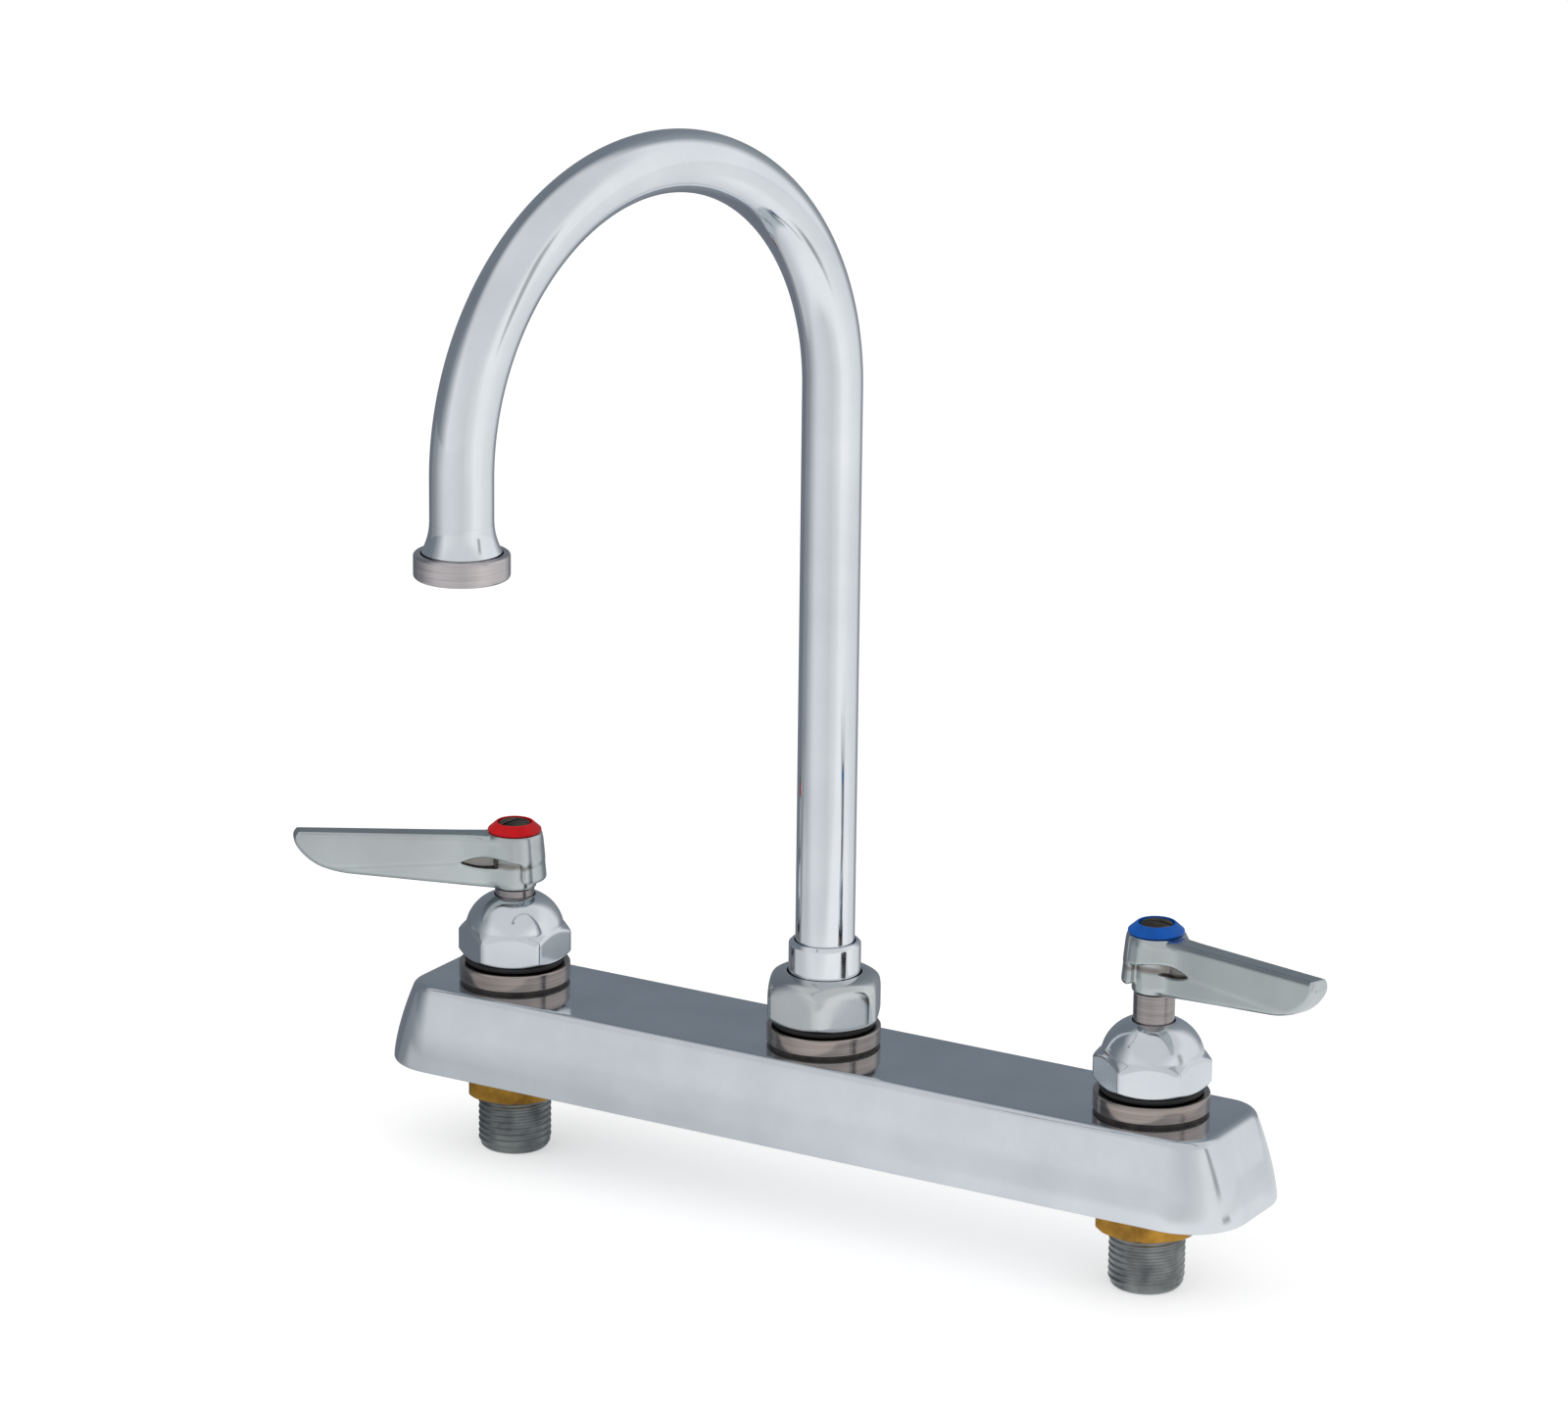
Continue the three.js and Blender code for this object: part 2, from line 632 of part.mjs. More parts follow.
// Behind the axis the cap's cone goes on down, so that hub and heel are flush there.
function heel() {
  const cone = turned([
    [0, -HEEL_DEPTH],
    [HEEL_REACH - CAP_EDGE, -HEEL_DEPTH],
    [HEEL_REACH, CAP_EDGE - HEEL_DEPTH],
    [HUB_FOOT_DIAMETER / 2, -HUB_CAP_HEIGHT],
    [0, -HUB_CAP_HEIGHT / 2],
  ], 32);
  return cone.trimByPlane([-1, 0, 0], HEEL_FRONT);
}

// The cap runs out into both faces of the blade as a web.
function web() {
  const side = WEB_FOOT / Math.SQRT2 + 1;
  const face = BLADE_THICKNESS / 2 - 0.4;
  const plan = [[0, side], [0, -side], [WEB_FOOT, -side], [WEB_REACH, -face], [WEB_REACH, face], [WEB_FOOT, side]];
  const shape = new THREE.Shape(plan.map(([x, y]) => new THREE.Vector2(x, y)));
  return raised(shape, -HUB_CAP_HEIGHT, -WEB_DROP);
}

function lever() {
  const neck = NECK_DIAMETER / 2;
  const cap = HUB_FOOT_DIAMETER / 2;
  const top = HUB_TOP_DIAMETER / 2;
  const hub = turned([
    [0, -HUB_HEIGHT],
    [neck - HUB_EDGE, -HUB_HEIGHT],
    [neck, HUB_EDGE - HUB_HEIGHT],
    [neck, -HUB_CAP_HEIGHT - NECK_FILLET],
    [neck + NECK_FILLET, -HUB_CAP_HEIGHT],
    [cap - CAP_EDGE, -HUB_CAP_HEIGHT],
    [cap, CAP_EDGE - HUB_CAP_HEIGHT],
    [top, -HUB_EDGE],
    [top - HUB_EDGE, 0],
    [0, 0],
  ], 32);
  const socket = raised(
    splineShape(SPLINE_DIAMETER / 2 - 0.2 + GAP, SPLINE_TOOTH),
    -HUB_HEIGHT - 1,
    SPLINE_LENGTH - HUB_HEIGHT,
  );
  const hole = bar(SCREW_SHANK_DIAMETER / 2 + GAP, -HUB_HEIGHT, 1, 16);
  const casting = hub.add(blade()).add(heel()).add(web());
  return casting.subtract(socket).subtract(hole).translate([0, 0, hubTop]);
}

function indexRing() {
  const bottom = hubTop + GAP / 2;
  const bore = SCREW_HEAD_DIAMETER / 2 + GAP;
  return turned([
    [bore, bottom],
    [INDEX_DIAMETER / 2, bottom],
    [INDEX_DIAMETER / 2, bottom + 0.5],
    [INDEX_TOP_DIAMETER / 2, bottom + INDEX_HEIGHT],
    [bore, bottom + INDEX_HEIGHT],
  ], 32);
}

function handleScrew() {
  const bottom = hubTop + GAP / 2;
  const top = bottom + SCREW_HEAD_HEIGHT;
  const head = SCREW_HEAD_DIAMETER / 2;
  const shank = SCREW_SHANK_DIAMETER / 2;
  const turnedScrew = turned([
    [0, hubTop - SCREW_LENGTH],
    [shank, hubTop - SCREW_LENGTH],
    [shank, bottom],
    [head, bottom],
    [head, top - 0.6],
    [head - 0.9, top],
    [0, top],
  ], SMALL_ROUND);
  const slot = new THREE.BoxGeometry(SCREW_HEAD_DIAMETER + 1, SCREW_SLOT, 2 * SCREW_SLOT);
  return turnedScrew.subtract(solid(slot.translate(0, 0, top)));
}

// ---------------------------------------------------------------- spout swivel
const spigotFoot = bossTop - POST_ENGAGEMENT + 2 * GAP + 2;
const postTop = hexBase + POST_RISE;
const flangeBottom = postTop + GAP;
const flangeTop = flangeBottom + SLEEVE_FLANGE;
const swivelNutTop = hexBase + SWIVEL_NUT_HEIGHT;
const sleeveTop = swivelNutTop + SLEEVE_TOP;
const tubeFoot = flangeBottom;

function swivelPost() {
  const foot = bossTop - POST_ENGAGEMENT;
  const lower = POCKET_DIAMETER / 2 - GAP;
  const bore = SLEEVE_SPIGOT / 2 + RUNNING_GAP;
  return turned([
    [POST_WATERWAY / 2, foot],
    [lower, foot],
    [lower, bossTop + GAP],
    [POST_THREAD / 2, bossTop + GAP],
    [POST_THREAD / 2, postTop],
    [bore, postTop],
    [bore, foot + 2],
    [POST_WATERWAY / 2, foot + 2],
  ]);
}

function swivelGasket() {
  return ring(POST_THREAD / 2 + GAP, GASKET_DIAMETER / 2 + GAP, bossTop + GAP, hexBase - GAP);
}

// The nut's rounded shoulder is part of an ellipse that starts at the hex corners.
function swivelNut(flatAzimuth) {
  const corner = SWIVEL_HEX / Math.sqrt(3) + 0.1;
  const lip = SLEEVE_DIAMETER / 2 + RUNNING_GAP;
  const shoulderFoot = swivelNutTop - SWIVEL_SHOULDER;
  const outside = turned([
    [0, hexBase],
    [corner - SWIVEL_BOTTOM_CHAMFER * 1.4, hexBase],
    [corner, hexBase + SWIVEL_BOTTOM_CHAMFER],
    ...arc(lip, shoulderFoot, corner - lip, SWIVEL_SHOULDER, 0, 90, 6),
    [0, swivelNutTop],
  ]);
  const thread = POST_THREAD / 2 + GAP;
  const inside = turned([
    [0, hexBase - 1],
    [thread, hexBase - 1],
    [thread, flangeTop + GAP],
    [lip, flangeTop + GAP],
    [lip, swivelNutTop + 1],
    [0, swivelNutTop + 1],
  ]);
  return outside.intersect(hexBar(SWIVEL_HEX, hexBase - 1, swivelNutTop + 1, flatAzimuth)).subtract(inside);
}

// Where the two seals sit on the sleeve's spigot.
const swivelRingHeights = [spigotFoot + 3, postTop - 4];

function swivelSleeve() {
  const spigot = SLEEVE_SPIGOT / 2;
  const upper = SLEEVE_DIAMETER / 2;
  const bore = TUBE_DIAMETER / 2 + GAP;
  const waterway = TUBE_DIAMETER / 2 - TUBE_WALL;
  return turned([
    [waterway, spigotFoot],
    [spigot, spigotFoot],
    ...swivelRingHeights.flatMap((height) => ringGroove(spigot, height)),
    [spigot, flangeBottom],
    [SLEEVE_FLANGE_DIAMETER / 2, flangeBottom],
    [SLEEVE_FLANGE_DIAMETER / 2, flangeTop],
    [upper, flangeTop],
    [upper, sleeveTop - 0.9],
    [upper - 0.9, sleeveTop],
    [bore, sleeveTop],
    [bore, tubeFoot - GAP],
    [waterway, tubeFoot - GAP],
  ], SLEEVE_ROUND);
}

// ---------------------------------------------------------------- spout
// The spout's centre line: straight up, half round towards +X and straight down to the outlet. Each
// straight run is one step long, and the bend takes all the others.
class SpoutPath extends THREE.Curve {
  constructor(foot, end) {
    super();
    this.foot = foot;
    this.end = end;
  }

  getPoint(share) {
    const step = share * (BEND_STEPS + 2) - 1;
    const angle = (Math.PI * THREE.MathUtils.clamp(step, 0, BEND_STEPS)) / BEND_STEPS;
    const point = new THREE.Vector3(
      BEND_RADIUS * (1 - Math.cos(angle)),
      0,
      RISER_TOP + BEND_RADIUS * Math.sin(angle),
    );
    if (step < 0) point.z += step * (RISER_TOP - this.foot);
    if (step > BEND_STEPS) point.z -= (step - BEND_STEPS) * (RISER_TOP - this.end);
    return point;
  }

  getUtoTmapping(share) {
    return share;
  }
}

const outletBottom = RISER_TOP - OUTLET_DROP;
const housingTop = outletBottom + HOUSING_HEIGHT;
const insertBottom = outletBottom + LIP_HEIGHT + GAP;
const aeratorWasherBottom = insertBottom + INSERT_THICKNESS + GAP / 2;
const adapterFoot = aeratorWasherBottom + AERATOR_WASHER_THICKNESS + GAP / 2;
const housingBore = HOUSING_DIAMETER / 2 - HOUSING_WALL;
const flareBottom = housingTop + GAP;
const tubeEnd = adapterFoot + ADAPTER_SPIGOT;

function gooseneckTube() {
  const section = new THREE.Shape().absarc(0, 0, TUBE_DIAMETER / 2, 0, 2 * Math.PI);
  section.holes.push(new THREE.Path().absarc(0, 0, TUBE_DIAMETER / 2 - TUBE_WALL, 0, 2 * Math.PI, true));
  const geometry = new THREE.ExtrudeGeometry(section, {
    extrudePath: new SpoutPath(tubeFoot, tubeEnd),
    steps: BEND_STEPS + 2,
    curveSegments: 10,
  });
  return solid(geometry);
}

function outletAdapter() {
  const bore = ADAPTER_BORE / 2;
  const flare = FLARE_DIAMETER / 2;
  const spigot = housingBore - GAP;
  const top = flareBottom + FLARE_HEIGHT;
  const spread = flare - bore - FLARE_LIP;
  const sweep = [0.1, 0.3, 0.5, 0.75, 1].map((share) => {
    return [flare - spread * (1 - (1 - share) ** 2), flareBottom + FLARE_HEIGHT * share];
  });
  return turned([
    [bore - TUBE_WALL, adapterFoot],
    [spigot, adapterFoot],
    [spigot, flareBottom - GAP],
    [flare, flareBottom],
    ...sweep,
    [bore, top],
    [bore, tubeEnd - GAP],
    [bore - TUBE_WALL, tubeEnd - GAP],
  ], 32);
}

function aeratorHousing() {
  const outer = HOUSING_DIAMETER / 2;
  return turned([
    [housingBore - HOUSING_LIP, outletBottom],
    [outer - HOUSING_EDGE, outletBottom],
    [outer, outletBottom + HOUSING_EDGE],
    [outer, housingTop - HOUSING_EDGE],
    [outer - HOUSING_EDGE, housingTop],
    [housingBore, housingTop],
    [housingBore, outletBottom + LIP_HEIGHT],
    [housingBore - HOUSING_LIP, outletBottom + LIP_HEIGHT],
  ]);
}

// A disc with rows of small holes round its middle.
function aeratorInsert() {
  const top = insertBottom + INSERT_THICKNESS;
  const hole = bar(AERATOR_HOLE / 2, insertBottom - 1, top + 1, 8);
  let disc = bar(housingBore - GAP, insertBottom, top, 32).subtract(hole);
  for (let row = 1; row <= AERATOR_ROWS; row++) {
    for (let i = 0; i < 6 * row; i++) {
      const angle = (2 * Math.PI * i) / (6 * row);
      const radius = AERATOR_PITCH * row;
      disc = disc.subtract(hole.translate([radius * Math.cos(angle), radius * Math.sin(angle), 0]));
    }
  }
  return disc;
}

function aeratorWasher() {
  const outer = housingBore - GAP;
  return ring(outer - HOUSING_LIP, outer, aeratorWasherBottom, aeratorWasherBottom + AERATOR_WASHER_THICKNESS);
}

// ---------------------------------------------------------------- assembly
const faucet = new THREE.Group();

function azimuthGroup(parent, degrees) {
  const group = new THREE.Group();
  group.rotation.z = THREE.MathUtils.degToRad(degrees);
  parent.add(group);
  return group;
}

// One complete valve: side is "hot" or "cold", and lift is how far its spindle has risen.
function addValve({ side, x, lift, leverAzimuth, bonnetFlat, nutFlat, indexFinish }) {
  const fixed = new THREE.Group();
  fixed.position.set(x, 0, 0);
  faucet.add(fixed);
  place(fixed, `${side}_inlet_shank`, inletShank(), "darkSteel");
  place(fixed, `${side}_mounting_nut`, mountingNut(nutFlat), "brass");
  place(fixed, `${side}_seat`, valveSeat(), "brass");
  place(fixed, `${side}_bonnet_gasket`, bonnetGasket(), "rubber");
  place(fixed, `${side}_bonnet`, bonnet(bonnetFlat), "castChrome");

  const rising = azimuthGroup(fixed, leverAzimuth);
  rising.position.z = lift;
  place(rising, `${side}_seat_washer`, seatWasher(), "rubber");
  place(rising, `${side}_washer_screw`, washerScrew(), "brass");
  place(rising, `${side}_stem_o_ring`, oRing(STEM_DIAMETER / 2, stemRingHeight, SMALL_ROUND), "rubber");
  place(rising, `${side}_spindle`, spindle(), "castChrome");
  place(rising, `${side}_lever`, lever(), "leverChrome");
  place(rising, `${side}_index_ring`, indexRing(), indexFinish);
  place(rising, `${side}_handle_screw`, handleScrew(), "screwSteel");
}

function addSpout() {
  const spout = azimuthGroup(faucet, SPOUT_AZIMUTH);
  place(spout, "swivel_sleeve", swivelSleeve(), "castChrome");
  ["lower", "upper"].forEach((level, i) => {
    place(spout, `swivel_o_ring_${level}`, oRing(SLEEVE_SPIGOT / 2, swivelRingHeights[i], SLEEVE_ROUND), "rubber");
  });
  place(spout, "gooseneck_tube", gooseneckTube(), "tubeChrome");
  const outlet = new THREE.Group();
  outlet.position.x = 2 * BEND_RADIUS;
  spout.add(outlet);
  place(outlet, "outlet_adapter", outletAdapter(), "tubeChrome");
  place(outlet, "aerator_housing", aeratorHousing(), "outletChrome");
  place(outlet, "aerator_insert", aeratorInsert(), "plastic");
  place(outlet, "aerator_washer", aeratorWasher(), "rubber");
}

place(faucet, "deck_body", deckBody(), "castChrome");
place(faucet, "swivel_post", swivelPost(), "brass");
place(faucet, "swivel_gasket", swivelGasket(), "rubber");
place(faucet, "swivel_nut", swivelNut(-34), "castChrome");
addValve({
  side: "hot",
  x: -valveX,
  lift: 0,
  leverAzimuth: HOT_LEVER_AZIMUTH,
  bonnetFlat: -62,
  nutFlat: 33,
  indexFinish: "red",
});
addValve({
  side: "cold",
  x: valveX,
  lift: THREAD_LEAD * COLD_OPEN_TURN,
  leverAzimuth: COLD_LEVER_AZIMUTH,
  bonnetFlat: -66,
  nutFlat: 17,
  indexFinish: "blue",
});
addSpout();

export default faucet;
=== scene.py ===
# %% [markdown]
# # A two-handle deck faucet
#
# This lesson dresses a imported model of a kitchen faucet: a long cast body with a hot and a cold valve, two
# lever handles and a gooseneck spout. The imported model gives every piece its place. It is drawn coarsely,
# and on bright chrome each facet would show, so every piece that shows is built again here with a fine,
# smooth surface. Sizes are in millimetres until a mesh is made, and Blender works in metres.

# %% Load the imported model
import math

import bmesh
import bpy
import numpy as np
from mathutils import Matrix, Vector


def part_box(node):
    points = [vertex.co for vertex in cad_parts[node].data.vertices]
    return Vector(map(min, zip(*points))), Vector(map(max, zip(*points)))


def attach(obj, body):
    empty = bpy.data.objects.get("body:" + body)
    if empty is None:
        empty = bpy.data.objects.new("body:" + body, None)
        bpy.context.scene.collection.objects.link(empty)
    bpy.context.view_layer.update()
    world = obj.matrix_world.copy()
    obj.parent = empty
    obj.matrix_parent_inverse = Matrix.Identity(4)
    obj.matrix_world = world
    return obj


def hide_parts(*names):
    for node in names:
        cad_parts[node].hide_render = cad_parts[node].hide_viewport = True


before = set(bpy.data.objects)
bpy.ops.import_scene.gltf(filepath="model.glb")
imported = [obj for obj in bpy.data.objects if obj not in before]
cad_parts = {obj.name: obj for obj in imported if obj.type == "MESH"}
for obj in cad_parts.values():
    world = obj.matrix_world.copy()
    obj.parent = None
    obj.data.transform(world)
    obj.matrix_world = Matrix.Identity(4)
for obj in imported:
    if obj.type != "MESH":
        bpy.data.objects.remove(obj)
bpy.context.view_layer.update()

# %% [markdown]
# ## Shared sizes
#
# The faucet stands on a deck at height 0. The two valves are 8 inches apart, which is the standard spacing
# for this kind. The cold valve is open, so its stem and lever stand higher by nearly one turn of thread.

# %% Sizes that several pieces share
MM = 0.001
VALVE_X = 101.6
COLD_LIFT = 5.997
BODY_HEIGHT = 24.0
TOP_OVERHANG, TOP_HALF_WIDTH, TOP_CORNER = 24.9, 20.2, 9.8
FLARE_LENGTH, FLARE_WIDTH, FLARE_CORNER = 8.0, 4.6, 7.6
BOSS_RADIUS = 15.8
GROOVE_TOP = 24.9
BOSS_TOP = 29.6
BONNET_HEX, SWIVEL_HEX, MOUNTING_HEX = 28.2, 30.2, 26.2
NUT_BASE = 31.6
HUB_TOP = 68.02
STEM_SHOULDER = 51.52
SWING = math.radians(-101)
BEND_RADIUS = 70.8
RISER_TOP = 209.4
TUBE_RADIUS = 8.2
TUBE_WALL = 1.4
TUBE_FOOT = 38.5
OUTLET_BOTTOM = 184.0
OUTLET = (2 * BEND_RADIUS * math.cos(SWING), 2 * BEND_RADIUS * math.sin(SWING))
print("the outlet hangs over", [round(v, 1) for v in OUTLET], "mm")

# %% [markdown]
# ## Helpers for meshes
#
# Most pieces of a faucet are turned on a lathe or ground to a hexagon. A turned piece is a profile of
# radius and height carried round an axis. Real edges are never sharp, so one helper rounds each corner of
# a profile. It also puts a point just beyond each rounding. Smooth shading blends across a face, and
# those extra points keep the blend inside the edge, so that large faces reflect like true flats.


# %% Rounding a profile
def softened(profile, radius, steps=4, closed=True):
    """A profile of [r, z] or [r, z, rounding] points with each corner rounded."""
    count = len(profile)
    out = []
    for i, corner in enumerate(profile):
        here = np.array(corner[:2], float)
        rounding = corner[2] if len(corner) > 2 else radius
        if not closed and i in (0, count - 1) or rounding <= 0:
            out.append(here)
            continue
        before = np.array(profile[i - 1][:2], float) - here
        after = np.array(profile[(i + 1) % count][:2], float) - here
        room = 0.45 * min(np.hypot(*before), np.hypot(*after))
        u, v = before / np.hypot(*before), after / np.hypot(*after)
        half = math.acos(max(-1.0, min(1.0, float(u @ v)))) / 2
        if half > math.radians(88):
            out.append(here)
            continue
        reach = min(rounding / math.tan(half), room)
        size = reach * math.tan(half)
        centre = here + (u + v) / np.hypot(*(u + v)) * (size / math.sin(half))
        start, end = here + u * reach, here + v * reach
        hold = min(0.06, 0.08 * reach)
        out.append(start + u * hold)
        for k in range(steps + 1):
            point = start + (end - start) * (k / steps) - centre
            out.append(centre + point / np.hypot(*point) * size)
        out.append(end + v * hold)
    return np.array(out)


def arc(centre, radii, start, end, steps):
    """Points on an arc of a circle or an ellipse in a profile, angles in degrees."""
    angles = np.radians(np.linspace(start, end, steps + 1))
    return [[centre[0] + radii[0] * math.cos(a), centre[1] + radii[1] * math.sin(a), 0] for a in angles]


print("a rounded square has", len(softened([[0, 0], [9, 0], [9, 9], [0, 9]], 1)), "points")

# %% [markdown]
# A finished mesh has its doubled points merged and its faces turned outwards. Its object stays at the
# origin, and the place of the piece is in its points.


# %% From points to a finished object
PIECES = []


def finish_mesh(bm, name, material, crease=180.0):
    """Edges that turn by more than the crease angle, in degrees, keep a sharp look."""
    bmesh.ops.remove_doubles(bm, verts=bm.verts, dist=2e-7)
    bmesh.ops.dissolve_degenerate(bm, edges=bm.edges, dist=1e-7)
    bmesh.ops.recalc_face_normals(bm, faces=bm.faces)
    for face in bm.faces:
        face.smooth = True
    for edge in bm.edges:
        edge.smooth = edge.calc_face_angle(0.0) < math.radians(crease)
    mesh = bpy.data.meshes.new(name)
    bm.to_mesh(mesh)
    bm.free()
    mesh.materials.append(bpy.data.materials[material])
    piece = bpy.data.objects.new(name, mesh)
    bpy.context.scene.collection.objects.link(piece)
    return piece


def dress(piece, body, slot, *nodes):
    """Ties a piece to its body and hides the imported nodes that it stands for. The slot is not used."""
    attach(piece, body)
    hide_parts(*nodes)
    PIECES.append(piece)
    print(f"{piece.name}: {len(piece.data.polygons)} faces, stands for {', '.join(nodes)}")
    return piece


def add_loop(bm, points):
    return [bm.verts.new([c * MM for c in p]) for p in points]


def bridge(bm, lower, upper):
    count = len(lower)
    for i in range(count):
        j = (i + 1) % count
        bm.faces.new((lower[i], lower[j], upper[j], upper[i]))


def cap(bm, *loops):
    """Fills the flat region inside the first loop and outside the others."""
    edges = []
    for loop in loops:
        for a, b in zip(loop, loop[1:] + loop[:1]):
            edges.append(bm.edges.get((a, b)) or bm.edges.new((a, b)))
    bmesh.ops.triangle_fill(bm, edges=edges, use_beauty=True, use_dissolve=False)


def circle(x, y, z, radius, segments):
    turns = np.linspace(0, 2 * math.pi, segments, endpoint=False)
    return [(x + radius * math.cos(t), y + radius * math.sin(t), z) for t in turns]


def skin(grid, closed=True):
    """A bmesh over a grid of points that goes round in its second direction."""
    bm = bmesh.new()
    rows = [add_loop(bm, row) for row in grid]
    for lower, upper in zip(rows, rows[1:] + rows[:1] if closed else rows[1:]):
        bridge(bm, lower, upper)
    return bm


def spun(profile, segments=96, at=(0, 0), lift=0.0):
    """The grid of a turned piece."""
    turns = np.linspace(0, 2 * math.pi, segments, endpoint=False)
    profile = np.asarray(profile, float)
    radius, height = profile[:, :1], profile[:, 1:2] + np.zeros(segments)
    return np.stack([at[0] + radius * np.cos(turns), at[1] + radius * np.sin(turns), height + lift], -1)


# %% [markdown]
# ## Camera
#
# The camera stands in front and to the right of the faucet, a little above it, with a long lens. Its
# place, direction and lens were worked out from edges of the faucet whose real distance is known.

# %% Camera
camera_data = bpy.data.cameras.new("studio_camera")
camera_data.lens = 139.18
camera_data.sensor_width = 36.0
camera_data.clip_start = 0.05
camera_data.clip_end = 30.0
camera = bpy.data.objects.new("studio_camera", camera_data)
yaw = Matrix.Rotation(math.radians(30.37), 4, "Z")
pitch = Matrix.Rotation(math.radians(90 - 16.14), 4, "X")
roll = Matrix.Rotation(math.radians(0.67), 4, "Z")
camera.matrix_world = Matrix.Translation((0.78997, -1.37186, 0.57893)) @ yaw @ pitch @ roll
bpy.context.scene.collection.objects.link(camera)
bpy.context.scene.camera = camera
print("camera distance", round(camera.location.length, 3), "m")

# %% [markdown]
# ## Helpers for materials
#
# Each material starts from what the real surface is made of. Colours are written as the hex value that a
# picture of the surface would show, and one function turns them into the linear values that light needs.


# %% Colours and nodes
def linear(hex_value):
    channels = [int(hex_value[i : i + 2], 16) / 255 for i in (1, 3, 5)]
    return (*[c / 12.92 if c <= 0.04045 else ((c + 0.055) / 1.055) ** 2.4 for c in channels], 1.0)


def add_node(tree, kind, settings=None, **inputs):
    """Adds a node. Inputs go by name, or as _0, _1 by number. A value is plain or another node's output."""
    made = tree.nodes.new(kind)
    for key, value in (settings or {}).items():
        setattr(made, key, value)
    for key, value in inputs.items():
        socket = made.inputs[int(key[1:]) if key[0] == "_" else key.replace("_", " ")]
        if isinstance(value, bpy.types.NodeSocket):
            tree.links.new(value, socket)
        else:
            socket.default_value = value
    return made


def ramp(tree, factor, stops):
    """A colour ramp with (position, hex or grey value) stops."""
    made = add_node(tree, "ShaderNodeValToRGB", _0=factor)
    band = made.color_ramp
    while len(band.elements) < len(stops):
        band.elements.new(0.5)
    for element, (position, value) in zip(band.elements, stops):
        element.position = position
        element.color = linear(value) if isinstance(value, str) else (value, value, value, 1)
    return made.outputs[0]


def slope(tree, value, start, end, first=0.0, last=1.0):
    """A value that goes from first to last while another goes from start to end."""
    return add_node(tree, "ShaderNodeMapRange", {"interpolation_type": "SMOOTHSTEP"}, Value=value,
                    From_Min=start, From_Max=end, To_Min=first, To_Max=last).outputs[0]


def mixed(tree, share, first, second):
    return add_node(tree, "ShaderNodeMix", {"data_type": "RGBA"}, _0=share, _6=first, _7=second).outputs[2]


def new_material(name):
    material = bpy.data.materials.new(name)
    material.use_nodes = True
    tree = material.node_tree
    tree.nodes.clear()
    place = add_node(tree, "ShaderNodeTexCoord").outputs["Object"]
    return tree, place


def per_mm(size):
    """The scale of a noise whose lumps are about this many millimetres across."""
    return 1000.0 / size


# %% [markdown]
# ## Chrome plating
#
# Bright chrome is a thin hard layer on nickel. It mirrors the room, at a little over half the strength of
# a silver mirror and with a faint blue tint. Its colours are set lighter here, because nothing in this
# studio is brighter than white paper. What tells one chromed piece from another is the metal below. A
# casting is polished by hand, so its mirror is slightly wavy. A drawn tube is truer. A die-cast lever
# comes out of its mould a little softer, so its reflections blur. In its pockets and in the corner under
# its cap the lever is painted darker, as painted shade where those hollows lie in shade.


# %% Four chrome finishes
def chrome(name, light, dark, gloss, wave_mm, wave, haze_mm=2.5, painted_recess_shade=None):
    """gloss is the range of roughness, and wave the height in mm of the polishing waves."""
    tree, place = new_material(name)
    film = add_node(tree, "ShaderNodeTexNoise", Vector=place, Scale=per_mm(haze_mm * 9), Detail=4.0)
    colour = ramp(tree, film.outputs[0], [(0.3, dark), (0.7, light)])
    # Painted shade: pockets and the corner under the cap are mixed towards a darker colour by depth.
    if painted_recess_shade:
        depth = add_node(tree, "ShaderNodeAttribute", {"attribute_name": "recess_depth"}).outputs["Fac"]
        colour = mixed(tree, slope(tree, depth, 0.1, 1.3), colour, linear(painted_recess_shade))
    haze = add_node(tree, "ShaderNodeTexNoise", Vector=place, Scale=per_mm(haze_mm), Detail=5.0, Roughness=0.6)
    rough = add_node(tree, "ShaderNodeMapRange", Value=haze.outputs[0], From_Min=0.3, From_Max=0.7,
                     To_Min=gloss[0], To_Max=gloss[1])
    waves = add_node(tree, "ShaderNodeTexNoise", Vector=place, Scale=per_mm(wave_mm), Detail=1.0)
    bump = add_node(tree, "ShaderNodeBump", Height=waves.outputs[0], Distance=wave * MM, Strength=1.0)
    shader = add_node(tree, "ShaderNodeBsdfPrincipled", Base_Color=colour, Metallic=1.0,
                      Roughness=rough.outputs[0], Normal=bump.outputs[0])
    add_node(tree, "ShaderNodeOutputMaterial", Surface=shader.outputs[0])


chrome("chrome_on_polished_casting", "#DFE4E8", "#D3D8DD", (0.07, 0.15), 16, 0.030)
chrome("chrome_on_drawn_tube", "#EAEEF2", "#DEE3E7", (0.05, 0.10), 30, 0.018)
chrome("dull_chrome_on_spout_nut", "#D3D7D8", "#C2C6C8", (0.10, 0.17), 8, 0.035)
chrome("chrome_on_die_cast_lever", "#C5CCCC", "#B9BFC0", (0.15, 0.22), 12, 0.020, painted_recess_shade="#8B8884")
print("chrome finishes:", len(bpy.data.materials))

# %% [markdown]
# Bosses, stems and the outlet ring were cut on a lathe and only nickel plated. Nickel is warmer than
# chrome, and the tool left fine lines that run round each piece and blur its reflections up and down.
# Real tool lines are about 0.2 mm apart. They are drawn two or three times as coarse, so that they show.


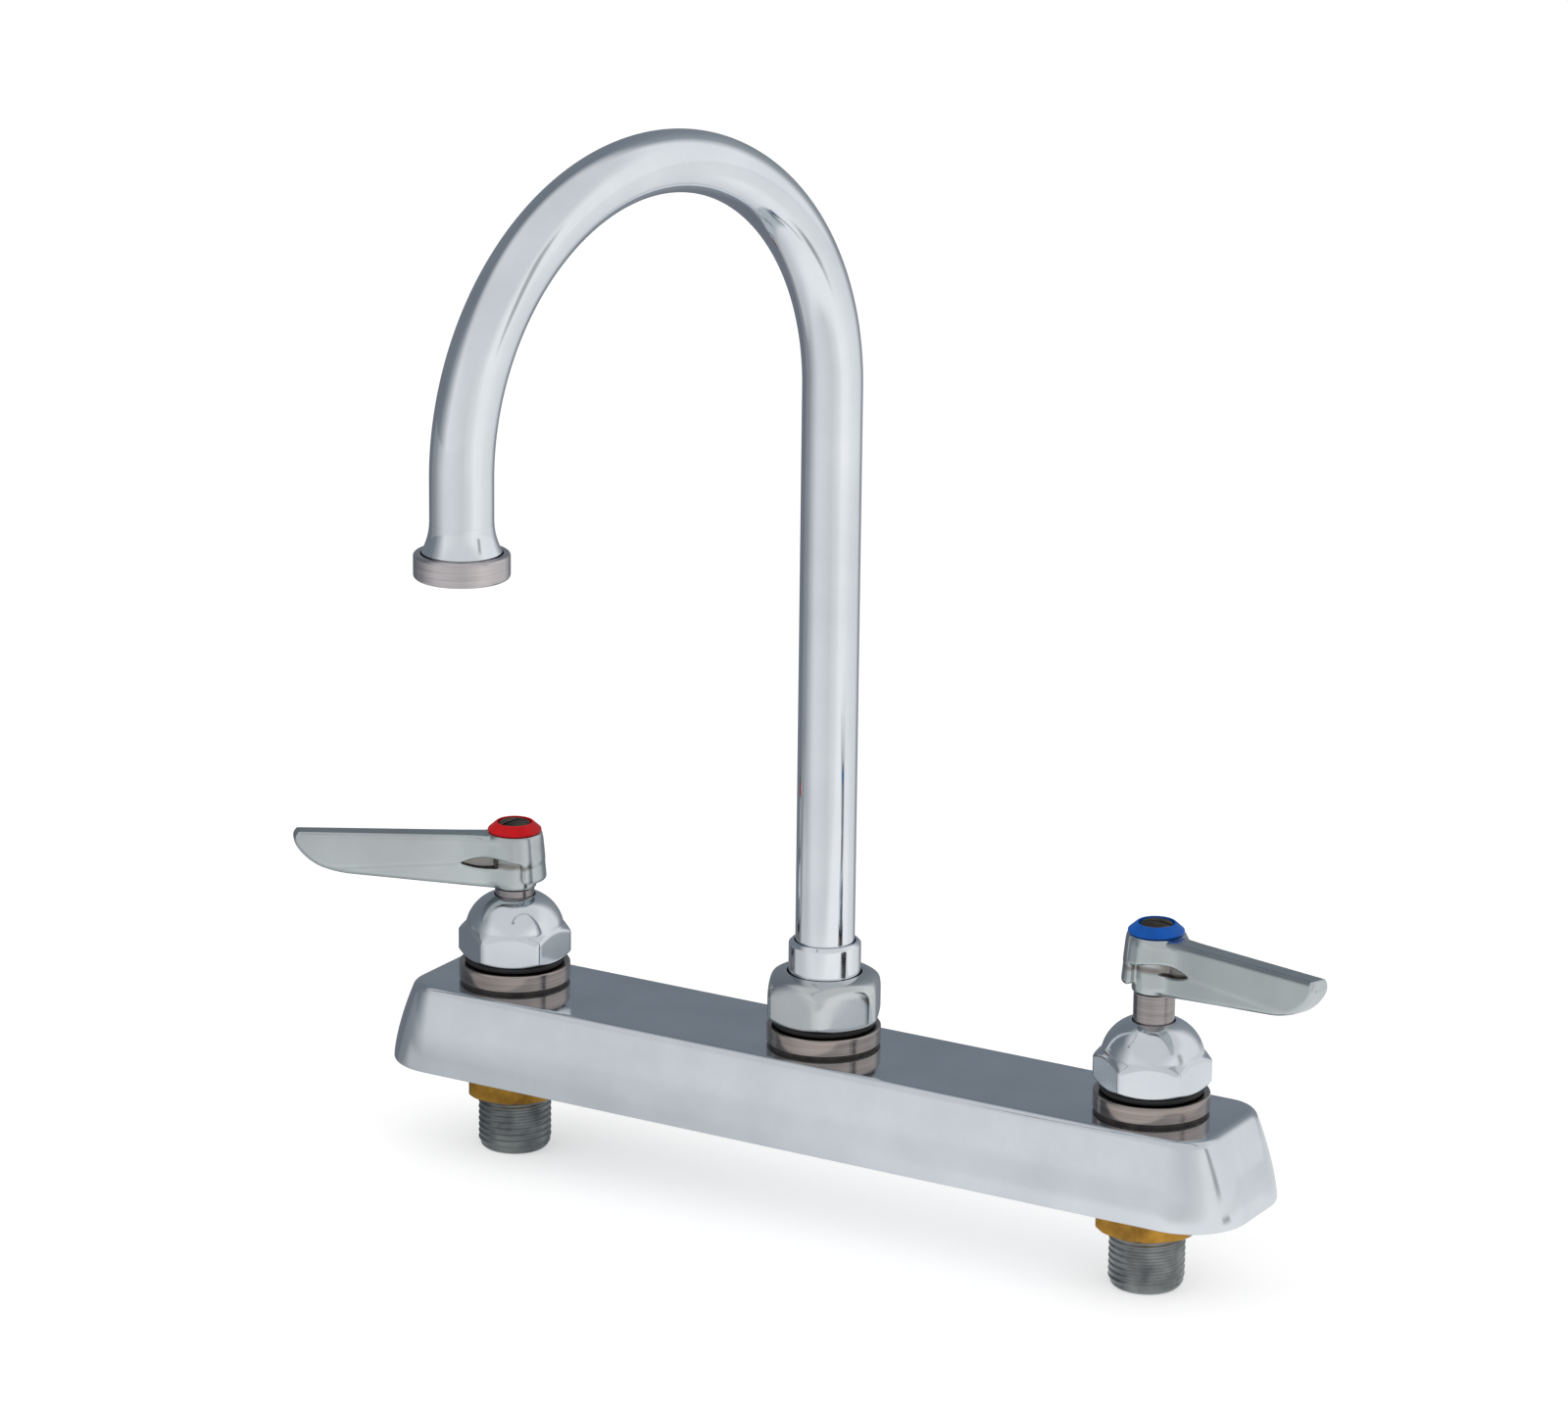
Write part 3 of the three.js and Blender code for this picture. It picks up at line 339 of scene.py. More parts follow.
# %% Nickel on turned metal
def turned_nickel(name, light, dark, gloss, line_mm, relief):
    tree, place = new_material(name)
    bands = add_node(tree, "ShaderNodeMapping", Vector=place, Scale=(40.0, 40.0, per_mm(line_mm)))
    lines = add_node(tree, "ShaderNodeTexNoise", Vector=bands.outputs[0], Scale=1.0, Detail=4.0)
    colour = ramp(tree, lines.outputs[0], [(0.3, dark), (0.7, light)])
    rough = add_node(tree, "ShaderNodeMapRange", Value=lines.outputs[0], From_Min=0.3, From_Max=0.7,
                     To_Min=gloss[0], To_Max=gloss[1])
    bump = add_node(tree, "ShaderNodeBump", Height=lines.outputs[0], Distance=relief * MM, Strength=1.0)
    shader = add_node(tree, "ShaderNodeBsdfPrincipled", Base_Color=colour, Metallic=1.0,
                      Roughness=rough.outputs[0], Normal=bump.outputs[0])
    add_node(tree, "ShaderNodeOutputMaterial", Surface=shader.outputs[0])


turned_nickel("nickel_on_turned_boss", "#ABA19C", "#928984", (0.12, 0.20), 0.5, 0.003)
turned_nickel("nickel_on_turned_stem", "#AAA3A3", "#8C8686", (0.16, 0.26), 0.4, 0.003)
turned_nickel("nickel_on_outlet_ring", "#D1CBCC", "#BAB4B5", (0.16, 0.24), 0.6, 0.002)
print("metal finishes:", len(bpy.data.materials))

# %% [markdown]
# ## Brass, steel, rubber and plastic
#
# The nuts under the deck are bare machined brass, brown where it has been handled. The inlet pipes are
# dark, with cutting oil in the thread. The handle screws are steel that has gone brown. The index rings
# are coloured plastic, moulded with a soft gloss, the gaskets are black rubber, and the stream former is
# grey acetal. Where a boss meets the body, the corner is painted dark, as painted shade.


# %% Bare metals and mouldings
def plain_finish(name, light, dark, metal, gloss, grain_mm, relief, specular=0.5):
    tree, place = new_material(name)
    patches = add_node(tree, "ShaderNodeTexNoise", Vector=place, Scale=per_mm(grain_mm * 5), Detail=6.0)
    colour = ramp(tree, patches.outputs[0], [(0.32, dark), (0.68, light)])
    grain = add_node(tree, "ShaderNodeTexNoise", Vector=place, Scale=per_mm(grain_mm), Detail=3.0)
    rough = add_node(tree, "ShaderNodeMapRange", Value=grain.outputs[0], To_Min=gloss[0], To_Max=gloss[1])
    bump = add_node(tree, "ShaderNodeBump", Height=grain.outputs[0], Distance=relief * MM, Strength=1.0)
    shader = add_node(tree, "ShaderNodeBsdfPrincipled", Base_Color=colour, Metallic=metal,
                      Roughness=rough.outputs[0], Normal=bump.outputs[0], Specular_IOR_Level=specular)
    add_node(tree, "ShaderNodeOutputMaterial", Surface=shader.outputs[0])


plain_finish("machined_brass", "#BE8F3D", "#82602A", 1.0, (0.25, 0.45), 1.2, 0.02)
plain_finish("oiled_steel_pipe", "#8E9292", "#606465", 1.0, (0.30, 0.44), 1.4, 0.01)
plain_finish("oxidised_steel_screw", "#73675A", "#3A3831", 1.0, (0.30, 0.50), 0.9, 0.03)
plain_finish("nitrile_rubber", "#1C1D1F", "#101113", 0.0, (0.55, 0.75), 0.6, 0.03)
# Painted shade: a dark colour for the undercut at the foot of each boss, where shade falls.
plain_finish("dried_polishing_paste", "#4A443F", "#2A2624", 0.0, (0.60, 0.80), 0.7, 0.03)
plain_finish("red_moulded_abs", "#D80010", "#C4000E", 0.0, (0.30, 0.42), 1.0, 0.01, 0.25)
plain_finish("blue_moulded_abs", "#0060C4", "#0052AC", 0.0, (0.30, 0.42), 1.0, 0.01, 0.25)
plain_finish("grey_acetal", "#9A9DA0", "#7E8285", 0.0, (0.40, 0.55), 1.0, 0.02)
print("all finishes:", sorted(m.name for m in bpy.data.materials))

# %% [markdown]
# ## The cast body
#
# The body is a casting with the plan of a rounded bar. Its walls flare towards the deck, upright at the
# foot and leaning in near the top. Three round bosses rise from the top face, one for each valve and one
# for the spout. It could be cut with booleans, but those leave slivers that chrome would show. Here each
# wall is a stack of outlines, and the flat faces are filled between outline and holes.

# %% Outline of the body at any height
def body_outline(height, inset=0.0, arc_steps=20):
    flare = 1 - (max(height, 0.0) / BODY_HEIGHT) ** 1.5
    half_length = VALVE_X + TOP_OVERHANG + FLARE_LENGTH * flare
    half_width = TOP_HALF_WIDTH + FLARE_WIDTH * flare
    corner = TOP_CORNER + FLARE_CORNER * flare
    hold = 0.5
    points = []
    for quarter, (sx, sy) in enumerate([(1, 1), (-1, 1), (-1, -1), (1, -1)]):
        cx, cy = sx * (half_length - corner), sy * (half_width - corner)
        turns = np.radians(np.linspace(90 * quarter, 90 * quarter + 90, arc_steps + 1))
        ring = [(cx + (corner - inset) * math.cos(t), cy + (corner - inset) * math.sin(t)) for t in turns]
        before = (hold * math.sin(turns[0]), -hold * math.cos(turns[0]))
        after = (-hold * math.sin(turns[-1]), hold * math.cos(turns[-1]))
        points.append((ring[0][0] + before[0], ring[0][1] + before[1]))
        points += ring
        points.append((ring[-1][0] + after[0], ring[-1][1] + after[1]))
    return [(x, y, height) for x, y in points]


def recess_outline(side, height):
    """One of the two shallow pockets in the underside, beside the rib and the round pads."""
    rib, pad_radius, rim_width = 3.5, 16.0, 4.5
    rim = [p for p in body_outline(0.0, rim_width) if p[1] < -rib]
    end = max(p[0] for p in rim)
    lower = [(-end, -rib)] + sorted(((p[0], p[1]) for p in rim if p[0] < 0), key=lambda p: (-p[1], p[0]))
    mirrored = [(-x, y) for x, y in reversed(lower)]
    reach = math.asin(rib / pad_radius)
    inner = []
    for pad in (VALVE_X, 0.0, -VALVE_X):
        for t in np.linspace(-reach, reach - math.pi, 25):
            inner.append((pad + pad_radius * math.cos(t), pad_radius * math.sin(t)))
    return [(x, side * y, height) for x, y in lower + mirrored + inner]


# %% Build the body
def boss_rings(x, bore):
    """The rings of one boss, from its undercut foot up, over its edge and down its bore."""
    foot = BOSS_RADIUS - 0.7
    undercut = [[foot, BODY_HEIGHT, 0], [foot, GROOVE_TOP, 0.1], [BOSS_RADIUS, GROOVE_TOP, 0.25]]
    top = [[BOSS_RADIUS, BOSS_TOP, 0.5], [11.9, BOSS_TOP, 0.4]]
    profile = softened([*undercut, *top, *bore], 0.25, closed=False)
    return [circle(x, 0, z, r, 128) for r, z in profile]


def colour_bosses(body):
    """The bosses are turned and nickel plated, and their undercut is painted dark, as painted shade."""
    body.data.materials.append(bpy.data.materials["nickel_on_turned_boss"])
    body.data.materials.append(bpy.data.materials["dried_polishing_paste"])
    for face in body.data.polygons:
        x, y, z = face.center / MM
        if z > GROOVE_TOP - 0.05:
            face.material_index = 1
        # Faces of the undercut get the dark material, which is painted shade.
        elif z > BODY_HEIGHT + 0.02:
            face.material_index = 2


def build_body():
    bm = bmesh.new()
    low, high = 0.6, 1.8  # roundings of the foot and of the top edge
    rings = [body_outline(0.0, low + 0.06)]
    rings += [body_outline(low - low * math.cos(a), low - low * math.sin(a)) for a in np.linspace(0, 1.4, 4)]
    rings += [body_outline(low + (BODY_HEIGHT - low - high) * (i / 26)) for i in range(27)]
    for a in np.linspace(0, math.pi / 2, 8)[1:]:
        rings.append(body_outline(BODY_HEIGHT - high + high * math.sin(a), high * (1 - math.cos(a))))
    rings.append(body_outline(BODY_HEIGHT, high + 0.06))
    walls = [add_loop(bm, ring) for ring in rings]
    for lower, upper in zip(walls, walls[1:]):
        bridge(bm, lower, upper)
    through = [[11.6, 28.8], [11.6, 10.0], [7.3, 10.0], [7.3, 6.3], [10.7, 6.3], [10.7, 0.0]]
    blind = [[11.6, 28.8], [11.6, 9.0], [0.4, 9.0]]
    tops, bottoms = [walls[-1]], [walls[0]]
    for x, bore in ((-VALVE_X, through), (0.0, blind), (VALVE_X, through)):
        loops = [add_loop(bm, ring) for ring in boss_rings(x, bore)]
        for lower, upper in zip(loops, loops[1:]):
            bridge(bm, lower, upper)
        tops.append(loops[0])
        if bore is through:
            bottoms.append(loops[-1])
        else:
            bm.faces.new(loops[-1])
    for side in (1, -1):
        edge = add_loop(bm, recess_outline(side, 0.0))
        roof = add_loop(bm, recess_outline(side, 2.4))
        bridge(bm, edge, roof)
        cap(bm, roof)
        bottoms.append(edge)
    cap(bm, *tops)
    cap(bm, *bottoms)
    body = finish_mesh(bm, "faucet_body_casting", "chrome_on_polished_casting", crease=40)
    colour_bosses(body)
    return body


dress(build_body(), "base", "cast_chrome", "deck_body")

# %% [markdown]
# ## Hexagons with turned ends
#
# A bonnet or a nut starts as hexagonal bar, and a lathe then rounds its ends. So its surface is always the
# nearer of two: the turned profile or the six flats. A soft minimum of the two radii gives that shape
# directly, with edges broken by a fraction of a millimetre, as plating and polishing leave them.


# %% A turned profile limited by six flats
def soft_min(a, b, width):
    share = np.clip(width - np.abs(a - b), 0, None) / width
    return np.minimum(a, b) - share * share * width / 4


def hex_spun(profile, across_flats, flat_azimuth, at=(0, 0), per_side=36, edge=0.5, fine=0.4):
    profile = np.asarray(profile, float)
    dense = []
    for a, b in zip(profile, np.roll(profile, -1, axis=0)):
        count = max(1, int(np.hypot(*(b - a)) / fine)) if max(a[0], b[0]) > across_flats / 2 - 0.6 else 1
        dense += [a + (b - a) * (k / count) for k in range(count)]
    dense = np.array(dense)
    share = np.linspace(-1, 1, per_side, endpoint=False)
    spread = np.sign(share) * (1 - (1 - np.abs(share)) ** 1.5)
    turns = np.concatenate([math.radians(60 * side) + spread * math.radians(30) for side in range(6)])
    turns = turns + math.radians(flat_azimuth)
    flats = [math.radians(flat_azimuth + 60 * k) for k in range(6)]
    reach = [across_flats / 2 / np.maximum(np.cos(turns - f), 0.2) for f in flats]
    reach = np.sort(np.array(reach), axis=0)
    hexagon = soft_min(reach[0], reach[1], edge * 1.4)
    radius = soft_min(dense[:, :1] + 0 * turns, hexagon[None, :], edge)
    height = dense[:, 1:2] + 0 * turns
    return np.stack([at[0] + radius * np.cos(turns), at[1] + radius * np.sin(turns), height], -1)


# %% [markdown]
# ## Bonnets
#
# The bonnet screws into the boss and closes the valve. Its hexagon takes a spanner, and above it a dome
# leads up to the stem. Its threaded skirt is out of sight in the boss.

# %% Build both bonnets
def bonnet_profile():
    dome = arc((2.6, 38.5), (11.5, 11.5), 11.05, 73.3, 26)
    loop = [[9.0, 17.6], [11.3, 17.6], [11.3, NUT_BASE, 0.1], [14.4, NUT_BASE], [16.4, 32.9, 0.3],
            [16.4, 38.4, 0], *dome, [5.9, 49.3, 0.2], [5.9, 40.0], [6.4, 40.0], [6.4, 26.3], [9.0, 26.3]]
    return softened(loop, 0.3)


for side, x, azimuth in (("hot", -VALVE_X, -62), ("cold", VALVE_X, -66)):
    grid = hex_spun(bonnet_profile(), BONNET_HEX, azimuth, at=(x, 0), edge=0.7)
    bonnet = finish_mesh(skin(grid), f"{side}_bonnet_hexagon_and_dome", "chrome_on_polished_casting")
    dress(bonnet, "base", "cast_chrome", f"{side}_bonnet")

# %% [markdown]
# ## Swivel of the spout
#
# A nut with rounded shoulders holds the spout's sleeve down on a post in the middle boss. The sleeve
# turns inside it, and the tube stands in the sleeve.

# %% Build the swivel nut and sleeve
def swivel_profiles():
    shoulder = arc((10.4, 38.0), (7.13, 6.9), 0, 88, 22)
    nut = [[12.9, NUT_BASE], [15.3, NUT_BASE, 0.4], [17.5, 33.1, 0.4], *shoulder, [10.4, 44.9, 0.15],
           [10.4, 40.8], [12.9, 40.8]]
    sleeve = [[6.8, 20.3], [9.4, 20.3], [9.4, 38.5, 0.1], [11.4, 38.5], [11.4, 40.5], [10.0, 40.5, 0.1],
              [10.0, 53.0, 0.4], [9.1, 53.9, 0.4], [8.5, 53.9, 0.15], [8.5, 38.2], [6.8, 38.2]]
    return softened(nut, 0.3), softened(sleeve, 0.3)


nut_profile, sleeve_profile = swivel_profiles()
swivel_nut = finish_mesh(skin(hex_spun(nut_profile, SWIVEL_HEX, -36, edge=1.8)), "spout_swivel_nut",
                         "dull_chrome_on_spout_nut")
dress(swivel_nut, "base", "cast_chrome", "swivel_nut")
sleeve = finish_mesh(skin(spun(sleeve_profile, 128)), "spout_sleeve", "chrome_on_drawn_tube")
dress(sleeve, "spout", "cast_chrome", "swivel_sleeve")

# %% [markdown]
# ## Gaskets
#
# A black rubber ring seals each nut on its boss. From the side only a dark line shows, with a slight bulge
# where the nut squeezes it.


# %% Build the gaskets
def gasket(name, inner, outer, x, node):
    loop = [[inner, 29.9], [outer - 0.2, 29.9], [outer, 30.6], [outer - 0.2, 31.3], [inner, 31.3]]
    piece = finish_mesh(skin(spun(softened(loop, 0.25), 96, at=(x, 0))), name, "nitrile_rubber")
    dress(piece, "base", "black_rubber", node)


gasket("hot_bonnet_rubber_ring", 11.9, 14.2, -VALVE_X, "hot_bonnet_gasket")
gasket("cold_bonnet_rubber_ring", 11.9, 14.2, VALVE_X, "cold_bonnet_gasket")
gasket("spout_nut_rubber_ring", 12.9, 14.5, 0.0, "swivel_gasket")

# %% [markdown]
# ## The gooseneck, as a rule
#
# The spout is one tube whose centre line follows a rule: straight up, half round and a short way down.
# That suits Geometry Nodes. A line of points is numbered, each number gives an angle on the bend, and the
# first and last points are pulled down to the foot and to the outlet. A circle is then swept along it.


# %% A small helper for maths in a node tree
def calc(tree, operation, a, b=0.0, clamp=False):
    settings = {"operation": operation, "use_clamp": clamp}
    return add_node(tree, "ShaderNodeMath", settings, _0=a, _1=b).outputs[0]


def new_geometry_tree(name, inputs):
    tree = bpy.data.node_groups.new(name, "GeometryNodeTree")
    tree.interface.new_socket(name="Geometry", in_out="OUTPUT", socket_type="NodeSocketGeometry")
    for label, (kind, value) in inputs.items():
        socket = tree.interface.new_socket(name=label, in_out="INPUT", socket_type=kind)
        socket.default_value = value
    return tree, tree.nodes.new("NodeGroupInput").outputs, tree.nodes.new("NodeGroupOutput")


def evaluated(name, tree, values):
    """Runs a tree on an empty mesh and returns the result as a bmesh."""
    carrier = bpy.data.objects.new(name, bpy.data.meshes.new(name))
    bpy.context.scene.collection.objects.link(carrier)
    modifier = carrier.modifiers.new("rule", "NODES")
    modifier.node_group = tree
    for item in tree.interface.items_tree:
        if item.in_out == "INPUT" and item.name in values:
            modifier[item.identifier] = values[item.name]
    graph = bpy.context.evaluated_depsgraph_get()
    mesh = bpy.data.meshes.new_from_object(carrier.evaluated_get(graph))
    bm = bmesh.new()
    bm.from_mesh(mesh)
    carrier.modifiers.clear()
    bpy.data.objects.remove(carrier)
    bpy.data.meshes.remove(mesh)
    return bm


# %% The tree of the gooseneck
def gooseneck_tree():
    length = "NodeSocketFloat"
    tree, given, out = new_geometry_tree("gooseneck_rule", {
        "Bend radius": (length, BEND_RADIUS * MM),
        "Bend start": (length, RISER_TOP * MM),
        "Foot": (length, TUBE_FOOT * MM),
        "End": (length, 0.2),
        "Tube radius": (length, TUBE_RADIUS * MM),
        "Swing": (length, SWING),
        "Steps": ("NodeSocketInt", 180),
        "Sides": ("NodeSocketInt", 96),
    })
    number = add_node(tree, "GeometryNodeInputIndex").outputs[0]
    step = calc(tree, "SUBTRACT", number, 1.0)
    angle = calc(tree, "MULTIPLY", calc(tree, "DIVIDE", step, given["Steps"], clamp=True), math.pi)
    across = calc(tree, "SUBTRACT", 1.0, calc(tree, "COSINE", angle))
    across = calc(tree, "MULTIPLY", across, given["Bend radius"])
    height = calc(tree, "MULTIPLY", calc(tree, "SINE", angle), given["Bend radius"])
    height = calc(tree, "ADD", height, given["Bend start"])
    first = calc(tree, "SUBTRACT", 1.0, number, clamp=True)
    last = calc(tree, "SUBTRACT", step, given["Steps"], clamp=True)
    riser = calc(tree, "MULTIPLY", first, calc(tree, "SUBTRACT", given["Bend start"], given["Foot"]))
    drop = calc(tree, "MULTIPLY", last, calc(tree, "SUBTRACT", given["Bend start"], given["End"]))
    height = calc(tree, "SUBTRACT", calc(tree, "SUBTRACT", height, riser), drop)
    place = add_node(tree, "ShaderNodeCombineXYZ", X=across, Z=height)
    count = calc(tree, "ADD", given["Steps"], 3.0)
    line = add_node(tree, "GeometryNodeMeshLine", Count=count)
    moved = add_node(tree, "GeometryNodeSetPosition", Geometry=line.outputs[0], Position=place.outputs[0])
    curve = add_node(tree, "GeometryNodeMeshToCurve", Mesh=moved.outputs[0])
    ring = add_node(tree, "GeometryNodeCurvePrimitiveCircle", Resolution=given["Sides"],
                    Radius=given["Tube radius"])
    tube = add_node(tree, "GeometryNodeCurveToMesh", Curve=curve.outputs[0], Profile_Curve=ring.outputs[0])
    turn = add_node(tree, "ShaderNodeCombineXYZ", Z=given["Swing"])
    swung = add_node(tree, "GeometryNodeTransform", Geometry=tube.outputs[0], Rotation=turn.outputs[0])
    whole = add_node(tree, "GeometryNodeRealizeInstances", Geometry=swung.outputs[0])
    finish = add_node(tree, "GeometryNodeSetMaterial", Geometry=whole.outputs[0],
                      Material=bpy.data.materials["chrome_on_drawn_tube"])
    tree.links.new(finish.outputs[0], out.inputs[0])
    return tree


# %% Build the gooseneck and give it its wall
tube_end = OUTLET_BOTTOM + 6.5
tube_mesh = evaluated("gooseneck_line", gooseneck_tree(), {"End": tube_end * MM})
bmesh.ops.remove_doubles(tube_mesh, verts=tube_mesh.verts, dist=1e-7)
bmesh.ops.recalc_face_normals(tube_mesh, faces=tube_mesh.faces)
bmesh.ops.solidify(tube_mesh, geom=tube_mesh.faces[:], thickness=TUBE_WALL * MM)
gooseneck = finish_mesh(tube_mesh, "gooseneck_spout_tube", "chrome_on_drawn_tube", crease=40)
dress(gooseneck, "spout", "tube_chrome", "gooseneck_tube")
bend_top, packed_top = gooseneck.bound_box[6][2] / MM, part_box("gooseneck_tube")[1].z / MM
print("top of the bend", round(bend_top, 1), "mm, packed", round(packed_top, 1))

# %% [markdown]
# ## The outlet
#
# The tube ends in a flared adapter, and a ring screws onto it that holds the stream former. The ring was
# plated separately, and it is duller and warmer than the tube.

# %% Build adapter, ring and seal
flare = [[8.24 + 1.96 * (1 - t) ** 1.85, 190.8 + 7.4 * t, 0] for t in np.linspace(0, 1, 15)]
adapter_loop = [[7.0, 188.4], [10.0, 188.4], [10.0, 190.8, 0], *flare, [8.21, 198.2, 0], [8.21, 190.1],
                [7.0, 190.1]]
adapter = finish_mesh(skin(spun(softened(adapter_loop, 0.2, 6), 112, at=OUTLET)), "outlet_flared_adapter",
                      "chrome_on_drawn_tube", crease=40)
dress(adapter, "spout", "tube_chrome", "outlet_adapter")
ring_loop = [[9.4, 184.0, 0.3], [12.35, 184.0, 1.0], [12.35, 190.5, 0.8], [10.5, 190.5, 0.2], [10.5, 189.6],
             [11.2, 189.6], [11.2, 185.0], [9.4, 185.0]]
ring = finish_mesh(skin(spun(softened(ring_loop, 0.2, 6), 112, at=OUTLET)), "outlet_aerator_ring",
                   "nickel_on_outlet_ring")
dress(ring, "spout", "outlet_chrome", "aerator_housing")

# %% [markdown]
# The stream former is a disc with small holes. Rows of points carry a short peg each, and a boolean node
# takes the pegs away from the disc. The pegs are instances until then, so the tree stays small.


# %% The tree of the perforated disc
def perforated_disc_tree():
    length = "NodeSocketFloat"
    tree, given, out = new_geometry_tree("perforated_disc_rule", {
        "Disc radius": (length, 10.9 * MM),
        "Thickness": (length, 1.9 * MM),
        "Hole radius": (length, 0.8 * MM),
        "Row pitch": (length, 2.6 * MM),
    })
    disc = add_node(tree, "GeometryNodeMeshCylinder", Vertices=72, Radius=given["Disc radius"],
                    Depth=given["Thickness"])
    peg = add_node(tree, "GeometryNodeMeshCylinder", Vertices=12, Radius=given["Hole radius"],
                   Depth=calc(tree, "MULTIPLY", given["Thickness"], 2.0))
    rows = add_node(tree, "GeometryNodeJoinGeometry")
    centre = add_node(tree, "GeometryNodeMeshLine", Count=1)
    tree.links.new(centre.outputs[0], rows.inputs[0])
    for row in (1, 2, 3):
        radius = calc(tree, "MULTIPLY", given["Row pitch"], float(row))
        points = add_node(tree, "GeometryNodeMeshCircle", Vertices=6 * row, Radius=radius)
        tree.links.new(points.outputs[0], rows.inputs[0])
    pegs = add_node(tree, "GeometryNodeInstanceOnPoints", Points=rows.outputs[0], Instance=peg.outputs[0])
    loose = add_node(tree, "GeometryNodeRealizeInstances", Geometry=pegs.outputs[0])
    cut = add_node(tree, "GeometryNodeMeshBoolean", {"operation": "DIFFERENCE"}, Mesh_1=disc.outputs[0])
    tree.links.new(loose.outputs[0], cut.inputs[1])
    whole = add_node(tree, "GeometryNodeRealizeInstances", Geometry=cut.outputs[0])
    finish = add_node(tree, "GeometryNodeSetMaterial", Geometry=whole.outputs[0],
                      Material=bpy.data.materials["grey_acetal"])
    tree.links.new(finish.outputs[0], out.inputs[0])
    return tree


disc_mesh = evaluated("stream_former_line", perforated_disc_tree(), {})
bmesh.ops.translate(disc_mesh, verts=disc_mesh.verts, vec=(OUTLET[0] * MM, OUTLET[1] * MM, 186.25 * MM))
former = finish_mesh(disc_mesh, "outlet_stream_former", "grey_acetal", crease=40)
dress(former, "spout", "grey_plastic", "aerator_insert")

# %% [markdown]
# ## Valve stems
#
# The stem rises as the handle turns. Between dome and handle a short bright length shows, more of it on
# the open cold side. The rest, with thread, groove and washer cup, is inside the bonnet.


# %% Build both stems
def stem_profile():
    loop = [[0.0, 21.5], [1.9, 21.5], [1.9, 16.2], [7.9, 16.2], [7.9, 13.6], [8.6, 13.6], [8.6, 19.4, 0.8],
            [6.1, 19.4], [6.1, 33.0], [5.6, 33.5], [5.6, 40.35], [4.2, 40.35], [4.2, 41.95], [5.6, 41.95],
            [5.6, STEM_SHOULDER], [4.9, STEM_SHOULDER], [4.9, 61.2, 0.5], [2.3, 61.5], [2.3, 53.7], [0.0, 53.7]]
    return softened(loop, 0.15, 3, closed=False)


for side, x, lift in (("hot", -VALVE_X, 0.0), ("cold", VALVE_X, COLD_LIFT)):
    stem = finish_mesh(skin(spun(stem_profile(), 80, at=(x, 0), lift=lift), closed=False),
                       f"{side}_valve_stem", "nickel_on_turned_stem")
    dress(stem, f"{side}_handle_unit", "cast_chrome", f"{side}_spindle")

# %% [markdown]
# ## Lever handles
#
# A lever is a die casting: a conical cap, longer at its back, and a neck, with a thin blade that grows out
# of them through a web. Nothing on it is sharp, and blade and hub run into each other, which is hard to
# build face by face. Instead its shape is written as a field: a formula that is negative inside the metal
# and zero on its surface. A soft minimum joins two forms with a fillet, and a soft maximum cuts one by
# another with a rounded edge. The surface is then found on a fine grid, and each of its points is moved
# exactly onto the formula's zero.


# %% The field of a lever, with the top of its hub at height 0 and its tip towards +X
def soft_max(a, b, width):
    return -soft_min(-a, -b, width)


def blade_side_lines():
    """The blade's outline from the side is convex, so it is the inside of all of its edge lines."""
    lower = [(5.0, -16.2), (13.0, -15.1), (46.0, -10.4)]
    curve = []
    for bend in (((46.0, -10.4), (56.5, -9.0), (61.2, -2.2)), ((61.2, -2.2), (63.4, 0.9), (61.3, 2.7))):
        a, b, c = np.array(bend)
        curve += [(1 - t) ** 2 * a + 2 * t * (1 - t) * b + t * t * c for t in np.linspace(0, 1, 12)[1:]]
    points = [np.array(p) for p in [*lower, *curve, (0.0, -0.85)]]
    lines = []
    for a, b in zip(points, points[1:]):
        along = (b - a) / np.hypot(*(b - a))
        lines.append((along[1], -along[0], along[1] * a[0] - along[0] * a[1]))
    return np.array(lines)


SIDE_LINES = blade_side_lines()


def solid_lever_field(p):
    """Cap with its heel, neck, blade and the webs between them."""
    x, y, z = p.T
    r = np.hypot(x, y)
    cone = (r - 7.8 + 0.0935 * z) * 0.996
    rear_only = soft_min(-7.5 - z, soft_max(-13.8 - z, 0.6 * (x + 1.0), 1.5), 0.6)
    cap_part = soft_max(soft_max(cone, z, 0.9), rear_only, 0.9)
    neck = soft_max(soft_max(r - 6.2, -16.2 - z, 0.7), z + 4.0, 0.5)
    outline = np.max(SIDE_LINES[:, :1] * x + SIDE_LINES[:, 1:2] * z - SIDE_LINES[:, 2:3], axis=0)
    flank = np.abs(y) - 3.3 + 0.5 * np.clip(x / 62.3, 0, 1)
    blade = soft_max(soft_max(flank, -x, 1.0), outline, 1.3)
    upper_web = soft_min(cone, soft_max(flank, 9.4 - 2.9 * x, 1.0), 9.4)
    upper_web = soft_max(soft_max(upper_web, outline, 1.6) + 0.6, -7.5 - z, 0.9)
    lower_web = soft_min(r - 6.2, soft_max(flank, 5.6 - 2.4 * x, 1.0), 5.6)
    lower_web = soft_max(soft_max(lower_web, outline, 2.0) + 0.4, z + 4.0, 0.5)
    joined = soft_min(soft_min(cap_part, neck, 0.5), soft_min(blade, lower_web, 0.4), 0.5)
    return soft_min(joined, upper_web, 1.6)


